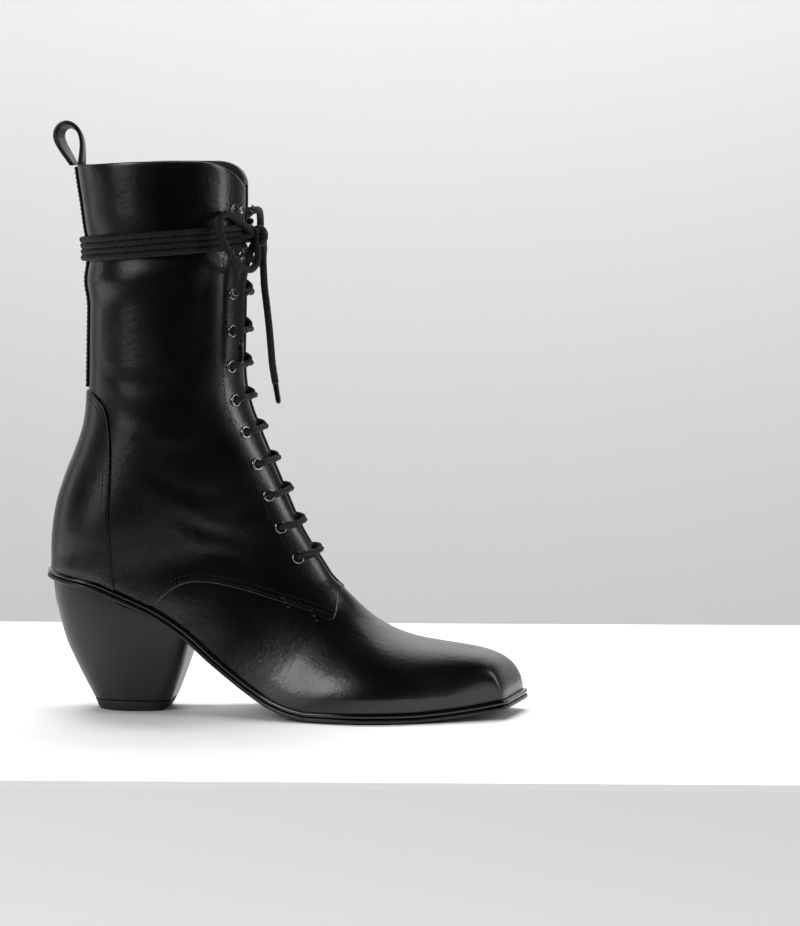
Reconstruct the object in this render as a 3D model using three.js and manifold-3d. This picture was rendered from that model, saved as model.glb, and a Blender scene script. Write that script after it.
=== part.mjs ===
// Heeled lace-up leather boot, right foot, in millimetres.
// +X runs to the toe, +Y to the inner side of the foot, +Z up.
// The origin is on the floor under the middle of the heel's top piece.
import * as THREE from "three";
import { mergeVertices } from "three/addons/utils/BufferGeometryUtils.js";
import Module from "manifold-3d";

const wasm = await Module();
wasm.setup();

// Length and heights
const heelBack = -44; // rearmost point of the upper
const bootLength = 257; // heel back to toe tip
const seatHeight = 71; // feather line above the floor, at the middle of the heel seat
const shaftHeight = 224; // heel seat to collar
const instepHeight = 70; // feather line to the foot of the throat
const toeSpring = 5.8;
const ballWidth = 86; // upper, at the joints of the toes

// Walls, steps and clearances
const clearance = 0.3;
const beadGap = 0.5; // above and below the bead
const wall = 2.2; // quarters with their lining
const vampStep = 1.0; // the quarters lie over the vamp
const counterThickness = 1.0;
const tongueThickness = 1.8;
const tongueHalfWidth = 22;
const insoleThickness = 3;

// Throat, eyelets and hooks
const throatHalfGap = 6;
const eyeletInset = 10.5; // facing edge to the middle of an eyelet
const eyeletCount = 8;
const eyeletPitch = 18.3;
const firstEyelet = 12; // above the foot of the throat, along the facing
const eyeletRadius = 3.5;
const eyeletHole = 2.1;
const eyeletThickness = 0.8;
const hookCount = 3;
const hookPitch = 20.5;
const hookRise = 20; // last eyelet to first hook
const hookStep = 24.2; // to the last hook, past the turns of lace
const hookRadius = 3;
const hookHeight = 3.6;

// Sole and heel
const beadHeight = 2.2;
const beadOverHeel = 2.6; // beyond the quarters, to stand proud of the counter
const beadOverVamp = 1.2;
const soleThickness = 2.1;
const soleRecess = 0.7; // seat of the forefoot rubber
const padThickness = 1.0;
const padInset = 12;
const padRear = heelBack + 0.506 * bootLength;
const padFront = heelBack + 0.934 * bootLength;
const liftHeight = 5.4;
const seatWidth = 57; // top of the heel block
const heelDepth = 83; // top of the heel block, front to back

// Lace
const laceThickness = 4;
const wrapRows = 4;
const wrapPitch = 3.28;
const wrapHeight = 10.9; // middle of the turns above the last hook but one, at the front
const wrapSlope = 0.095; // the turns rise to the front
const aglet = { radius: 1.7, length: 11 };

// Pull loop and back strap
const strapThickness = 1.2;
const strapHalfWidth = 7;
const loopHeight = 22;
const loopReach = 13.5; // behind its foot on the collar
const loopThickness = 1.7;

// Inner zip
const placket = { thickness: 0.9, halfWidth: 12, slit: 1.5 };
const zipTeeth = { halfWidth: 1.2, thickness: 0.6 };
const slider = { width: 6.4, thickness: 2.6, length: 9, drop: 12 }; // drop: below the collar
const pullTab = { width: 5.6, thickness: 1.2, length: 20, barrel: 1.6, bore: 0.95, pin: 0.6 };

// Feather line, seen from the side: forward as a share of the boot's length,
// arch as a share of the heel rise, spring as a share of the toe spring.
const featherRows = [
  { x: -0.016, arch: 1.108, spring: 0 },
  { x: 0.005, arch: 1.088, spring: 0 },
  { x: 0.116, arch: 1.005, spring: 0 },
  { x: 0.163, arch: 0.932, spring: 0 },
  { x: 0.239, arch: 0.797, spring: 0 },
  { x: 0.305, arch: 0.628, spring: 0 },
  { x: 0.375, arch: 0.391, spring: 0 },
  { x: 0.454, arch: 0.169, spring: 0 },
  { x: 0.5, arch: 0.069, spring: 0 },
  { x: 0.547, arch: 0.015, spring: 0 },
  { x: 0.576, arch: 0, spring: 0 },
  { x: 0.786, arch: 0, spring: 0 },
  { x: 0.833, arch: 0, spring: 0.103 },
  { x: 0.928, arch: 0, spring: 0.517 },
  { x: 0.969, arch: 0, spring: 0.828 },
  { x: 1.008, arch: 0, spring: 1.069 },
];

// Sections of the leg, from above the collar to the heel curve. Each runs from the front ridge
// (frontX, frontZ) to the back (backX, backZ). X is a share of the boot's length, Z a share of
// the shaft's height above the heel seat, outer and inner are half widths as shares of the ball
// width, widest is where along the section they lie, round and square are the exponents of the
// front and back curve.
const legRows = [
  { frontX: 0.423, frontZ: 1.036, backX: 0.061, backZ: 1.036, outer: 0.442, inner: 0.442, widest: 0.5, round: 2, square: 2.1 },
  { frontX: 0.422, frontZ: 0.978, backX: 0.065, backZ: 0.975, outer: 0.442, inner: 0.442, widest: 0.5, round: 2, square: 2.1 },
  { frontX: 0.421, frontZ: 0.906, backX: 0.075, backZ: 0.897, outer: 0.436, inner: 0.436, widest: 0.5, round: 2, square: 2.1 },
  { frontX: 0.419, frontZ: 0.808, backX: 0.086, backZ: 0.795, outer: 0.424, inner: 0.424, widest: 0.5, round: 2, square: 2.1 },
  { frontX: 0.418, frontZ: 0.701, backX: 0.089, backZ: 0.688, outer: 0.413, inner: 0.413, widest: 0.5, round: 2, square: 2.1 },
  { frontX: 0.417, frontZ: 0.607, backX: 0.087, backZ: 0.585, outer: 0.401, inner: 0.401, widest: 0.5, round: 2, square: 2.1 },
  { frontX: 0.416, frontZ: 0.536, backX: 0.085, backZ: 0.5, outer: 0.395, inner: 0.395, widest: 0.5, round: 2, square: 2.1 },
  { frontX: 0.419, frontZ: 0.475, backX: 0.082, backZ: 0.429, outer: 0.39, inner: 0.39, widest: 0.5, round: 2, square: 2.1 },
  { frontX: 0.43, frontZ: 0.423, backX: 0.074, backZ: 0.368, outer: 0.386, inner: 0.388, widest: 0.5, round: 2, square: 2.1 },
  { frontX: 0.446, frontZ: 0.375, backX: 0.057, backZ: 0.31, outer: 0.384, inner: 0.39, widest: 0.52, round: 2, square: 2.1 },
  { frontX: 0.466, frontZ: 0.319, backX: 0.037, backZ: 0.254, outer: 0.381, inner: 0.393, widest: 0.55, round: 2, square: 2.1 },
  { frontX: 0.489, frontZ: 0.257, backX: 0.018, backZ: 0.188, outer: 0.379, inner: 0.393, widest: 0.6, round: 2, square: 2.1 },
  { frontX: 0.511, frontZ: 0.198, backX: 0.008, backZ: 0.121, outer: 0.372, inner: 0.384, widest: 0.66, round: 2, square: 2.1 },
  { frontX: 0.533, frontZ: 0.141, backX: 0.005, backZ: 0.058, outer: 0.356, inner: 0.36, widest: 0.71, round: 2, square: 2.1 },
];

// Sections of the foot, on to the toe. Z is a share of the instep's height above the feather
// line at that place: the lower end lies under the sole, where the feather line cuts it off.
// ridge moves the top line to the inner side, slant turns the section, both for the toe.
const footRows = [
  { frontX: 0.556, frontZ: 1.226, backX: 0.011, backZ: -0.106, outer: 0.342, inner: 0.342, widest: 0.75, round: 2, square: 2.2, ridge: 0, slant: 0 },
  { frontX: 0.582, frontZ: 1.093, backX: 0.062, backZ: -0.327, outer: 0.331, inner: 0.302, widest: 0.64, round: 2, square: 2.6, ridge: 0, slant: 0 },
  { frontX: 0.603, frontZ: 0.976, backX: 0.171, backZ: -0.424, outer: 0.32, inner: 0.267, widest: 0.62, round: 2, square: 3, ridge: 0, slant: 0 },
  { frontX: 0.624, frontZ: 0.9, backX: 0.288, backZ: -0.48, outer: 0.331, inner: 0.262, widest: 0.64, round: 1.95, square: 3, ridge: 0, slant: 0 },
  { frontX: 0.646, frontZ: 0.814, backX: 0.389, backZ: -0.44, outer: 0.395, inner: 0.285, widest: 0.64, round: 1.9, square: 3, ridge: 0.02, slant: 0 },
  { frontX: 0.669, frontZ: 0.726, backX: 0.482, backZ: -0.357, outer: 0.483, inner: 0.355, widest: 0.62, round: 1.9, square: 3, ridge: 0.04, slant: 0 },
  { frontX: 0.696, frontZ: 0.643, backX: 0.564, backZ: -0.306, outer: 0.535, inner: 0.407, widest: 0.56, round: 1.95, square: 3, ridge: 0.05, slant: 0 },
  { frontX: 0.73, frontZ: 0.571, backX: 0.638, backZ: -0.307, outer: 0.558, inner: 0.445, widest: 0.53, round: 2, square: 3, ridge: 0.06, slant: 0 },
  { frontX: 0.774, frontZ: 0.514, backX: 0.708, backZ: -0.307, outer: 0.535, inner: 0.457, widest: 0.5, round: 2.05, square: 3, ridge: 0.06, slant: 0 },
  { frontX: 0.825, frontZ: 0.473, backX: 0.778, backZ: -0.3, outer: 0.474, inner: 0.437, widest: 0.48, round: 2.15, square: 3, ridge: 0.05, slant: 0.01 },
  { frontX: 0.879, frontZ: 0.429, backX: 0.844, backZ: -0.298, outer: 0.395, inner: 0.387, widest: 0.46, round: 2.3, square: 3, ridge: 0.04, slant: 0.03 },
  { frontX: 0.924, frontZ: 0.376, backX: 0.895, backZ: -0.274, outer: 0.328, inner: 0.337, widest: 0.42, round: 2.6, square: 3, ridge: 0.02, slant: 0.08 },
  { frontX: 0.957, frontZ: 0.29, backX: 0.926, backZ: -0.242, outer: 0.279, inner: 0.298, widest: 0.36, round: 3.2, square: 3, ridge: 0.01, slant: 0.13 },
  { frontX: 0.977, frontZ: 0.176, backX: 0.938, backZ: -0.235, outer: 0.251, inner: 0.272, widest: 0.3, round: 4.2, square: 3, ridge: 0, slant: 0.17 },
  { frontX: 0.987, frontZ: 0.059, backX: 0.942, backZ: -0.237, outer: 0.23, inner: 0.251, widest: 0.3, round: 5, square: 3, ridge: 0, slant: 0.18 },
  { frontX: 0.988, frontZ: -0.092, backX: 0.934, backZ: -0.247, outer: 0.215, inner: 0.238, widest: 0.3, round: 5, square: 3, ridge: 0, slant: 0.18 },
];

// Heel block: height as a share of the seat's height, back, breast and half width as shares of
// the heel's depth and of the seat's width.
const heelRows = [
  { up: 0, back: -0.217, breast: 0.241, half: 0.316 },
  { up: 0.08, back: -0.248, breast: 0.28, half: 0.326 },
  { up: 0.22, back: -0.312, breast: 0.328, half: 0.347 },
  { up: 0.36, back: -0.373, breast: 0.37, half: 0.381 },
  { up: 0.52, back: -0.433, breast: 0.41, half: 0.425 },
  { up: 0.7, back: -0.477, breast: 0.46, half: 0.467 },
  { up: 0.86, back: -0.507, breast: 0.53, half: 0.49 },
  { up: 1.0, back: -0.518, breast: 0.6, half: 0.5 },
  { up: 1.15, back: -0.52, breast: 0.66, half: 0.5 },
];

// Lines on the side of the upper: forward as a share of the boot's length, up as a share of the
// shaft's height above the heel seat.
const vampSeam = [
  { x: 0.241, z: -0.055 },
  { x: 0.26, z: -0.033 },
  { x: 0.279, z: -0.013 },
  { x: 0.311, z: 0.003 },
  { x: 0.357, z: 0.004 },
  { x: 0.42, z: -0.011 },
  { x: 0.504, z: -0.041 },
  { x: 0.567, z: -0.064 },
  { x: 0.611, z: -0.083 },
  { x: 0.621, z: -0.032 },
  { x: 0.623, z: 0.004 },
  { x: 0.616, z: 0.05 },
];
const counterSeam = [
  { x: -0.06, z: 0.462 },
  { x: 0.093, z: 0.455 },
  { x: 0.119, z: 0.44 },
  { x: 0.139, z: 0.412 },
  { x: 0.15, z: 0.344 },
  { x: 0.151, z: 0.248 },
  { x: 0.147, z: 0.152 },
  { x: 0.15, z: 0.056 },
  { x: 0.158, z: -0.05 },
];
const zipLine = [
  { x: 0.268, z: 1.05 },
  { x: 0.269, z: 0.75 },
  { x: 0.271, z: 0.58 },
  { x: 0.284, z: 0.42 },
  { x: 0.315, z: 0.265 },
  { x: 0.358, z: 0.13 },
  { x: 0.41, z: 0.0 },
  { x: 0.455, z: -0.095 },
];

// Bow, in millimetres from the front of the leg at the middle of the turns of lace
const nearLoop = [
  [6.3, -10.2, 2.2], [3.3, -17.5, 7.8], [-3, -25, 11.6], [-8, -30, 9], [-10.4, -33, 2.3],
  [-9.8, -34, -4.2], [-6, -33, -9.6], [-1, -30, -14.6], [3.8, -25.5, -18.6], [7.4, -19.8, -18.8],
  [9.8, -15, -14.6], [10.2, -12.2, -9], [9.6, -10.3, -3.8],
];
const farLoop = [
  [7.4, 0.3, 1.2], [6.2, 8, 7.4], [2.6, 20.6, 12.2], [-4, 29.4, 9.8], [-9.4, 32.6, 2.4],
  [-9.4, 33.6, -4.7], [-6, 32, -10.2], [-1.5, 26.6, -14.7], [3.5, 18.6, -16.7], [7, 9.6, -13.7],
  [8.6, 4.6, -8.2], [8.8, 0.6, -2.8],
];
const nearEnd = [
  [5.4, -8.2, -5.2], [4.6, -12.4, -8.8], [3.8, -16.4, -13.4], [2.6, -19.2, -19.2], [1.4, -20.2, -27.2],
  [0.8, -20.4, -37.2], [0.4, -20.4, -48.2], [0.3, -20.3, -57.7],
];
const farEnd = [
  [9.2, -4.2, -5.6], [9.6, -4, -11.2], [10, -4.3, -19.2], [10.6, -5, -28.2], [11.9, -5.6, -38.2],
  [13.2, -6, -49.2], [14.2, -6.2, -60.2], [15.1, -6.3, -70.2], [16.6, -6.3, -79.7],
];
const knot = { x: 8.6, y: -4.8, z: -0.4, half: [3.7, 4.7, 4.9] };

const leatherBlack = new THREE.MeshStandardMaterial({ color: 0x0c0c0d, roughness: 0.28 });
const liningGrey = new THREE.MeshStandardMaterial({ color: 0x2c2a29, roughness: 0.6 });
const soleBlack = new THREE.MeshStandardMaterial({ color: 0x141415, roughness: 0.4 });
const rubberBlack = new THREE.MeshStandardMaterial({ color: 0x1b1b1c, roughness: 0.7 });
const laceBlack = new THREE.MeshStandardMaterial({ color: 0x101011, roughness: 0.75 });
const gunmetal = new THREE.MeshStandardMaterial({ color: 0x3a3a3d, roughness: 0.3, metalness: 1 });

// Curves through the tables

const forward = (share) => heelBack + share * bootLength;
const upLeg = (share) => seatHeight + share * shaftHeight;
const mix = (a, b, t) => a + (b - a) * t;

// Smooth curve through (x, y) knots that never overshoots, straight beyond its ends.
function monotone(xs, ys) {
  const steps = xs.slice(1).map((x, i) => (ys[i + 1] - ys[i]) / (x - xs[i]));
  const slopes = xs.map((_, i) => {
    if (i === 0 || i === xs.length - 1) return steps[Math.min(i, steps.length - 1)];
    const [before, after] = [steps[i - 1], steps[i]];
    return before * after <= 0 ? 0 : (2 * before * after) / (before + after);
  });
  return (x) => {
    if (x <= xs[0]) return ys[0] + slopes[0] * (x - xs[0]);
    if (x >= xs.at(-1)) return ys.at(-1) + slopes.at(-1) * (x - xs.at(-1));
    const i = xs.findIndex((knotX) => knotX > x) - 1;
    const width = xs[i + 1] - xs[i];
    const t = (x - xs[i]) / width;
    const [a, b] = [t * t * (3 - 2 * t), t * (1 - t)];
    return mix(ys[i], ys[i + 1], a) + b * width * ((1 - t) * slopes[i] - t * slopes[i + 1]);
  };
}

const outsoleTop = beadHeight + 2 * beadGap;
const soleStack = outsoleTop + soleThickness; // feather line to the sole's bottom
const padProud = padThickness + clearance - soleRecess; // rubber below the sole's bottom
const ballTop = padProud + soleStack;
const featherAt = monotone(
  featherRows.map((row) => forward(row.x)),
  featherRows.map((row) => ballTop + row.arch * (seatHeight - ballTop) + row.spring * toeSpring),
);
const archEnd = forward(0.576);
const flatEnd = forward(0.786);

// Section table in millimetres, and any section between its rows

const sections = [
  ...legRows.map((row) => ({ ...row, ridge: 0, slant: 0, frontUp: upLeg(row.frontZ), backUp: upLeg(row.backZ) })),
  ...footRows.map((row) => ({
    ...row,
    frontUp: featherAt(forward(row.frontX)) + row.frontZ * instepHeight,
    backUp: featherAt(forward(row.backX)) + row.backZ * instepHeight,
  })),
].map((row) => ({
  frontX: forward(row.frontX),
  frontZ: row.frontUp,
  backX: forward(row.backX),
  backZ: row.backUp,
  outer: row.outer * ballWidth,
  inner: row.inner * ballWidth,
  widest: row.widest,
  round: row.round,
  square: row.square,
  ridge: row.ridge * ballWidth,
  slant: row.slant,
}));
const lastSection = sections.length - 1;
const throatSection = legRows.length + 1.75; // foot of the throat
const columns = Object.keys(sections[0]);

function sectionAt(s) {
  const i = Math.min(Math.max(Math.floor(s), 0), lastSection - 1);
  const t = s - i;
  const rows = [i - 1, i, i + 1, i + 2].map((k) => sections[Math.min(Math.max(k, 0), lastSection)]);
  const section = {};
  for (const name of columns) {
    const [a, b, c, d] = rows.map((row) => row[name]);
    section[name] = b + 0.5 * t * (c - a + t * (2 * a - 5 * b + 4 * c - d + t * (3 * (b - c) + d - a)));
  }
  return section;
}

// A point of the last. s is the section, turn runs round it: 0 on the front ridge, then down
// the outer side to the back at half a turn, and up the inner side.
function lastPoint(s, turn) {
  const row = sectionAt(s);
  const wrapped = ((turn % (2 * Math.PI)) + 2 * Math.PI) % (2 * Math.PI);
  const side = wrapped <= Math.PI ? -1 : 1;
  const angle = wrapped <= Math.PI ? wrapped : 2 * Math.PI - wrapped;
  const half = side < 0 ? row.outer : row.inner;
  const power = 2 / (angle <= Math.PI / 2 ? row.round : row.square);
  const cosine = Math.pow(Math.abs(Math.cos(angle)), power);
  const sine = Math.pow(Math.sin(angle), power);
  const along = angle <= Math.PI / 2 ? row.widest * (1 - cosine) : mix(row.widest, 1, cosine);
  const top = angle <= Math.PI / 2 ? row.ridge * cosine : 0;
  const y = side * half * sine + top;
  return new THREE.Vector3(
    mix(row.frontX, row.backX, along) + row.slant * y,
    y,
    mix(row.frontZ, row.backZ, along),
  );
}

function lastNormal(s, turn) {
  const step = 0.004;
  const alongRow = lastPoint(s, turn + step).sub(lastPoint(s, turn - step));
  const low = Math.max(s - step, 0);
  const high = Math.min(s + step, lastSection);
  const acrossRows = lastPoint(high, turn).sub(lastPoint(low, turn));
  return alongRow.cross(acrossRows).normalize();
}

const lifted = (s, turn, offset) => lastPoint(s, turn).addScaledVector(lastNormal(s, turn), offset);

// Solids

function toSolid(geometry) {
  const bare = geometry.clone();
  for (const name of Object.keys(bare.attributes)) if (name !== "position") bare.deleteAttribute(name);
  const merged = mergeVertices(bare, 1e-4);
  return new wasm.Manifold(
    new wasm.Mesh({
      numProp: 3,
      vertProperties: new Float32Array(merged.attributes.position.array),
      triVerts: new Uint32Array(merged.index.array),
    }),
  );
}

// Closed body through rings of points; its ends are flat fans.
function loft(rings) {
  const count = rings[0].length;
  const points = rings.flat();
  const faces = [];
  for (let i = 0; i < rings.length - 1; i++) {
    for (let j = 0; j < count; j++) {
      const [a, b] = [i * count + j, i * count + ((j + 1) % count)];
      faces.push(a, b, a + count, b, b + count, a + count);
    }
  }
  for (const [start, order] of [[0, 1], [(rings.length - 1) * count, -1]]) {
    const middle = new THREE.Vector3();
    for (let j = 0; j < count; j++) middle.addScaledVector(points[start + j], 1 / count);
    points.push(middle);
    for (let j = 0; j < count; j++) {
      const pair = [start + ((j + 1) % count), start + j];
      faces.push(...(order > 0 ? pair : pair.reverse()), points.length - 1);
    }
  }
  const geometry = new THREE.BufferGeometry().setFromPoints(points);
  geometry.setIndex(faces);
  let volume = 0;
  for (let k = 0; k < faces.length; k += 3) {
    const [a, b, c] = [points[faces[k]], points[faces[k + 1]], points[faces[k + 2]]];
    volume += a.dot(b.clone().cross(c));
  }
  if (volume < 0) geometry.setIndex(faces.slice().reverse());
  return toSolid(geometry);
}

const rowSteps = (from, to, count) => Array.from({ length: count + 1 }, (_, i) => mix(from, to, i / count));
const outerSteps = [...rowSteps(0, 7, 6), ...rowSteps(7, lastSection, 26).slice(1)];
const innerSteps = [...rowSteps(0, 6, 4), ...rowSteps(6, lastSection, 18).slice(1)];

// The last, grown or shrunk by an offset along its own surface.
function form(offset, steps = outerSteps, around = 22) {
  const turns = rowSteps(0, 2 * Math.PI, around).slice(0, -1);
  return loft(steps.map((s) => turns.map((turn) => lifted(s, turn, offset))));
}

// Side view outline pushed through from y0 to y1
function sidePrism(outline, y0 = -90, y1 = 90) {
  const shape = new THREE.Shape(outline.map(([x, z]) => new THREE.Vector2(x, z)));
  const geometry = new THREE.ExtrudeGeometry(shape, { depth: y1 - y0, bevelEnabled: false });
  return toSolid(geometry.rotateX(Math.PI / 2).translate(0, y1, 0));
}

// Plan outline pushed up from z0 to z1
function planPrism(outline, z0, z1) {
  const shape = new THREE.Shape(outline.map(([x, y]) => new THREE.Vector2(x, y)));
  return toSolid(new THREE.ExtrudeGeometry(shape, { depth: z1 - z0, bevelEnabled: false }).translate(0, 0, z0));
}

// The feather line, moved down square to itself
const farBack = heelBack - 16;
const farFront = heelBack + bootLength + 18;
const soleStations = [
  ...rowSteps(farBack, archEnd, 23),
  ...rowSteps(flatEnd, farFront, 7),
];
function belowFeather(distance) {
  return soleStations.map((x) => {
    const rise = (featherAt(x + 0.01) - featherAt(x - 0.01)) / 0.02;
    const size = Math.hypot(rise, 1);
    return [x + (rise * distance) / size, featherAt(x) - distance / size];
  });
}
const soleLayer = (top, bottom) => sidePrism([...belowFeather(top), ...belowFeather(bottom).reverse()]);

// Where the last meets the feather line: the plan of the bead, the sole and the insole

function crossing(s, side) {
  const height = (turn) => {
    const point = lastPoint(s, side < 0 ? turn : 2 * Math.PI - turn);
    return point.z - featherAt(point.x);
  };
  let [above, below] = [0.001, Math.PI - 0.001];
  for (let i = 0; i < 40; i++) {
    const middle = (above + below) / 2;
    if (height(middle) > 0) above = middle;
    else below = middle;
  }
  return lastPoint(s, side < 0 ? above : 2 * Math.PI - above);
}

function rootOf(test, low, high) {
  for (let i = 0; i < 50; i++) {
    const middle = (low + high) / 2;
    if (test(middle)) low = middle;
    else high = middle;
  }
  return low;
}

const overFeather = (s, turn) => {
  const point = lastPoint(s, turn);
  return point.z > featherAt(point.x);
};
const heelEnd = rootOf((s) => overFeather(s, Math.PI), legRows.length - 2, legRows.length + 2);
const toeEnd = rootOf((s) => overFeather(s, 0), lastSection - 3, lastSection);

// Points round the outline, closer together round the toe's corners
const toeDensity = 2.6;
function featherOutline(count) {
  const sides = [-1, 1].map((side) => rowSteps(heelEnd + 0.002, toeEnd - 0.002, 160).map((s) => crossing(s, side)));
  const loop = [...sides[0], ...sides[1].reverse()];
  loop.push(loop[0]);
  const runs = [0];
  for (let i = 1; i < loop.length; i++) {
    runs.push(runs[i - 1] + loop[i].distanceTo(loop[i - 1]) * (loop[i].x > padFront - 8 ? toeDensity : 1));
  }
  return rowSteps(0, runs.at(-1), count).slice(0, -1).map((run) => {
    const i = Math.max(1, runs.findIndex((length) => length > run));
    return loop[i - 1].clone().lerp(loop[i], (run - runs[i - 1]) / (runs[i] - runs[i - 1]));
  });
}

const outline = featherOutline(60);
const outlineNormals = outline.map((_, i) => {
  const next = outline[(i + 1) % outline.length];
  const before = outline[(i + outline.length - 1) % outline.length];
  return new THREE.Vector2(next.y - before.y, before.x - next.x).normalize();
});
const beadOver = (x) => mix(beadOverHeel, beadOverVamp, THREE.MathUtils.smoothstep(x, 0, 40));
const grownOutline = (grow) =>
  outline.map((p, i) => [p.x + grow(p.x) * outlineNormals[i].x, p.y + grow(p.x) * outlineNormals[i].y]);

// Upper

const lineOf = (rows) => rows.map((row) => [forward(row.x), upLeg(row.z)]);
const collarBack = upLeg(0.994);
const collarMiddle = upLeg(1.003);
const collarCorner = 11; // rounding of the facings' upper corners
const collarFront = sectionAt(1).frontX;
const farAbove = upLeg(1.2);

const collarLine = [
  [farBack, collarBack],
  [forward(0.09), collarBack],
  [forward(0.24), collarMiddle],
  ...rowSteps(Math.PI / 2, 0, 6).map((a) => [
    collarFront - collarCorner + 1.5 + collarCorner * Math.cos(a),
    collarMiddle - collarCorner + collarCorner * Math.sin(a),
  ]),
  [farFront, upLeg(0.9)],
];
const upperRegion = sidePrism([...collarLine, ...belowFeather(0).reverse()]);
const quarterRegion = sidePrism([
  ...lineOf(vampSeam),
  [forward(0.68), upLeg(0.2)],
  [forward(0.68), farAbove],
  [farBack, farAbove],
  [farBack, upLeg(-0.1)],
]);

// The open strip down the front, and a wider one for the tongue
function frontStrip(from, to, depth, reach) {
  const rows = rowSteps(from, to, 22).map((s) => {
    const row = sectionAt(s);
    const size = Math.hypot(row.backX - row.frontX, row.backZ - row.frontZ);
    const direction = [(row.backX - row.frontX) / size, (row.backZ - row.frontZ) / size];
    return (distance) => [row.frontX + direction[0] * distance, row.frontZ + direction[1] * distance];
  });
  return [...rows.map((at) => at(depth)), ...rows.reverse().map((at) => at(-reach))];
}

const inside = form(-wall);
const vamp = form(-vampStep);
const quarters = form(0).intersect(quarterRegion);
const throat = sidePrism(frontStrip(0, throatSection, 22, 14), -throatHalfGap, throatHalfGap);
const throatEnd = sidePrism(frontStrip(0, throatSection + 0.16, 20, 14), -throatHalfGap / 2, throatHalfGap / 2);
const upper = vamp.add(quarters).subtract(inside).intersect(upperRegion).subtract(throat).subtract(throatEnd);

// Tongue, between two forms inside the wall
const tongueOuter = form(-wall - clearance);
const tongueInner = form(-wall - clearance - tongueThickness, innerSteps, 18);
const tongueTop = sidePrism([[farBack, farBack], [farFront, farBack], [farFront, collarMiddle], [farBack, collarMiddle]]);
const tongue = tongueOuter
  .subtract(tongueInner)
  .intersect(sidePrism(frontStrip(0, throatSection + 1.1, 24, 10), -tongueHalfWidth, tongueHalfWidth))
  .intersect(tongueTop);


// Bead round the feather line, of rounded section
const beadSection = [[0, 0], [0.65, 0.12], [1, 0.5], [0.65, 0.88], [0, 1], [-1, 1], [-1, 0]];
const beadInner = wall;
function beadRing(i) {
  const { x, y, z } = outline[i];
  const rise = (featherAt(x + 0.01) - featherAt(x - 0.01)) / 0.02;
  const size = Math.hypot(rise, 1);
  return beadSection.map(([out, down]) => {
    const away = out < 0 ? out * beadInner : out * beadOver(x);
    const drop = beadGap + down * beadHeight;
    return new THREE.Vector3(
      x + away * outlineNormals[i].x + (rise * drop) / size,
      y + away * outlineNormals[i].y,
      z + away * outlineNormals[i].x * rise - drop / size,
    );
  });
}
function closedLoft(rings) {
  const count = rings[0].length;
  const faces = [];
  for (let i = 0; i < rings.length; i++) {
    const next = (i + 1) % rings.length;
    for (let j = 0; j < count; j++) {
      const k = (j + 1) % count;
      faces.push(i * count + j, i * count + k, next * count + j);
      faces.push(i * count + k, next * count + k, next * count + j);
    }
  }
  const geometry = new THREE.BufferGeometry().setFromPoints(rings.flat());
  geometry.setIndex(faces);
  const solid = toSolid(geometry);
  if (solid.volume() > 0) return solid;
  geometry.setIndex(faces.slice().reverse());
  return toSolid(geometry);
}
const bead = closedLoft(outline.map((_, i) => beadRing(i)));

// Insole, in the open bottom of the upper
const farDown = -40;
const insoleEdge = beadInner + 2 * clearance;
const insole = form(-wall - clearance, innerSteps, 18)
  .intersect(soleLayer(clearance + beadHeight - insoleThickness, beadHeight))
  .intersect(planPrism(grownOutline(() => -insoleEdge), farDown, upLeg(0.3)));

// Outsole, with a shallow seat for the forefoot rubber
const solePlan = planPrism(grownOutline((x) => beadOver(x) - 0.2), farDown, upLeg(0.3));
const halfWidthAt = (x, side) => {
  const points = outline.filter((p) => Math.sign(p.y) === side).sort((a, b) => a.x - b.x);
  const i = Math.max(1, points.findIndex((p) => p.x > x));
  const [a, b] = [points[i - 1], points[i]];
  return Math.abs(mix(a.y, b.y, (x - a.x) / (b.x - a.x)));
};
const padRounding = 26;
const padCorner = 7;
const toeSlant = sections.at(-2).slant;
function padOutline(grow) {
  const stations = [...rowSteps(0, Math.PI / 2, 6).map((a) => padRear + padRounding * (1 - Math.cos(a))),
    ...rowSteps(padRear + padRounding, padFront - padCorner, 8).slice(1),
    ...rowSteps(0, Math.PI / 2, 4).slice(1).map((a) => padFront - padCorner * (1 - Math.sin(a)))];
  const edge = (side) => stations.map((x) => {
    const rear = Math.min(1, (x - padRear) / padRounding);
    const front = Math.max(0, (x - padFront + padCorner) / padCorner);
    const ends = Math.sqrt(1 - (1 - rear) ** 2) - (1 - Math.sqrt(1 - front ** 2)) * 0.28;
    const half = (halfWidthAt(Math.min(x, padFront - padCorner), side) - padInset) * ends + grow;
    const y = side * Math.max(half, grow + 0.2);
    return [x + grow * (x < padRear + padRounding ? -(1 - rear) : front) + toeSlant * y * Math.min(1, Math.max(0, (x - 150) / 40)), y];
  });
  return [...edge(-1), ...edge(1).reverse()];
}
const outsole = solePlan
  .intersect(soleLayer(outsoleTop, soleStack))
  .subtract(planPrism(padOutline(clearance), farDown, upLeg(0)).intersect(soleLayer(soleStack - soleRecess, soleStack + 4)));
const padTop = soleStack - soleRecess + clearance;
const forefootPad = planPrism(padOutline(0), farDown, upLeg(0)).intersect(soleLayer(padTop, padTop + padThickness));

// Heel block and its top piece

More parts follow.
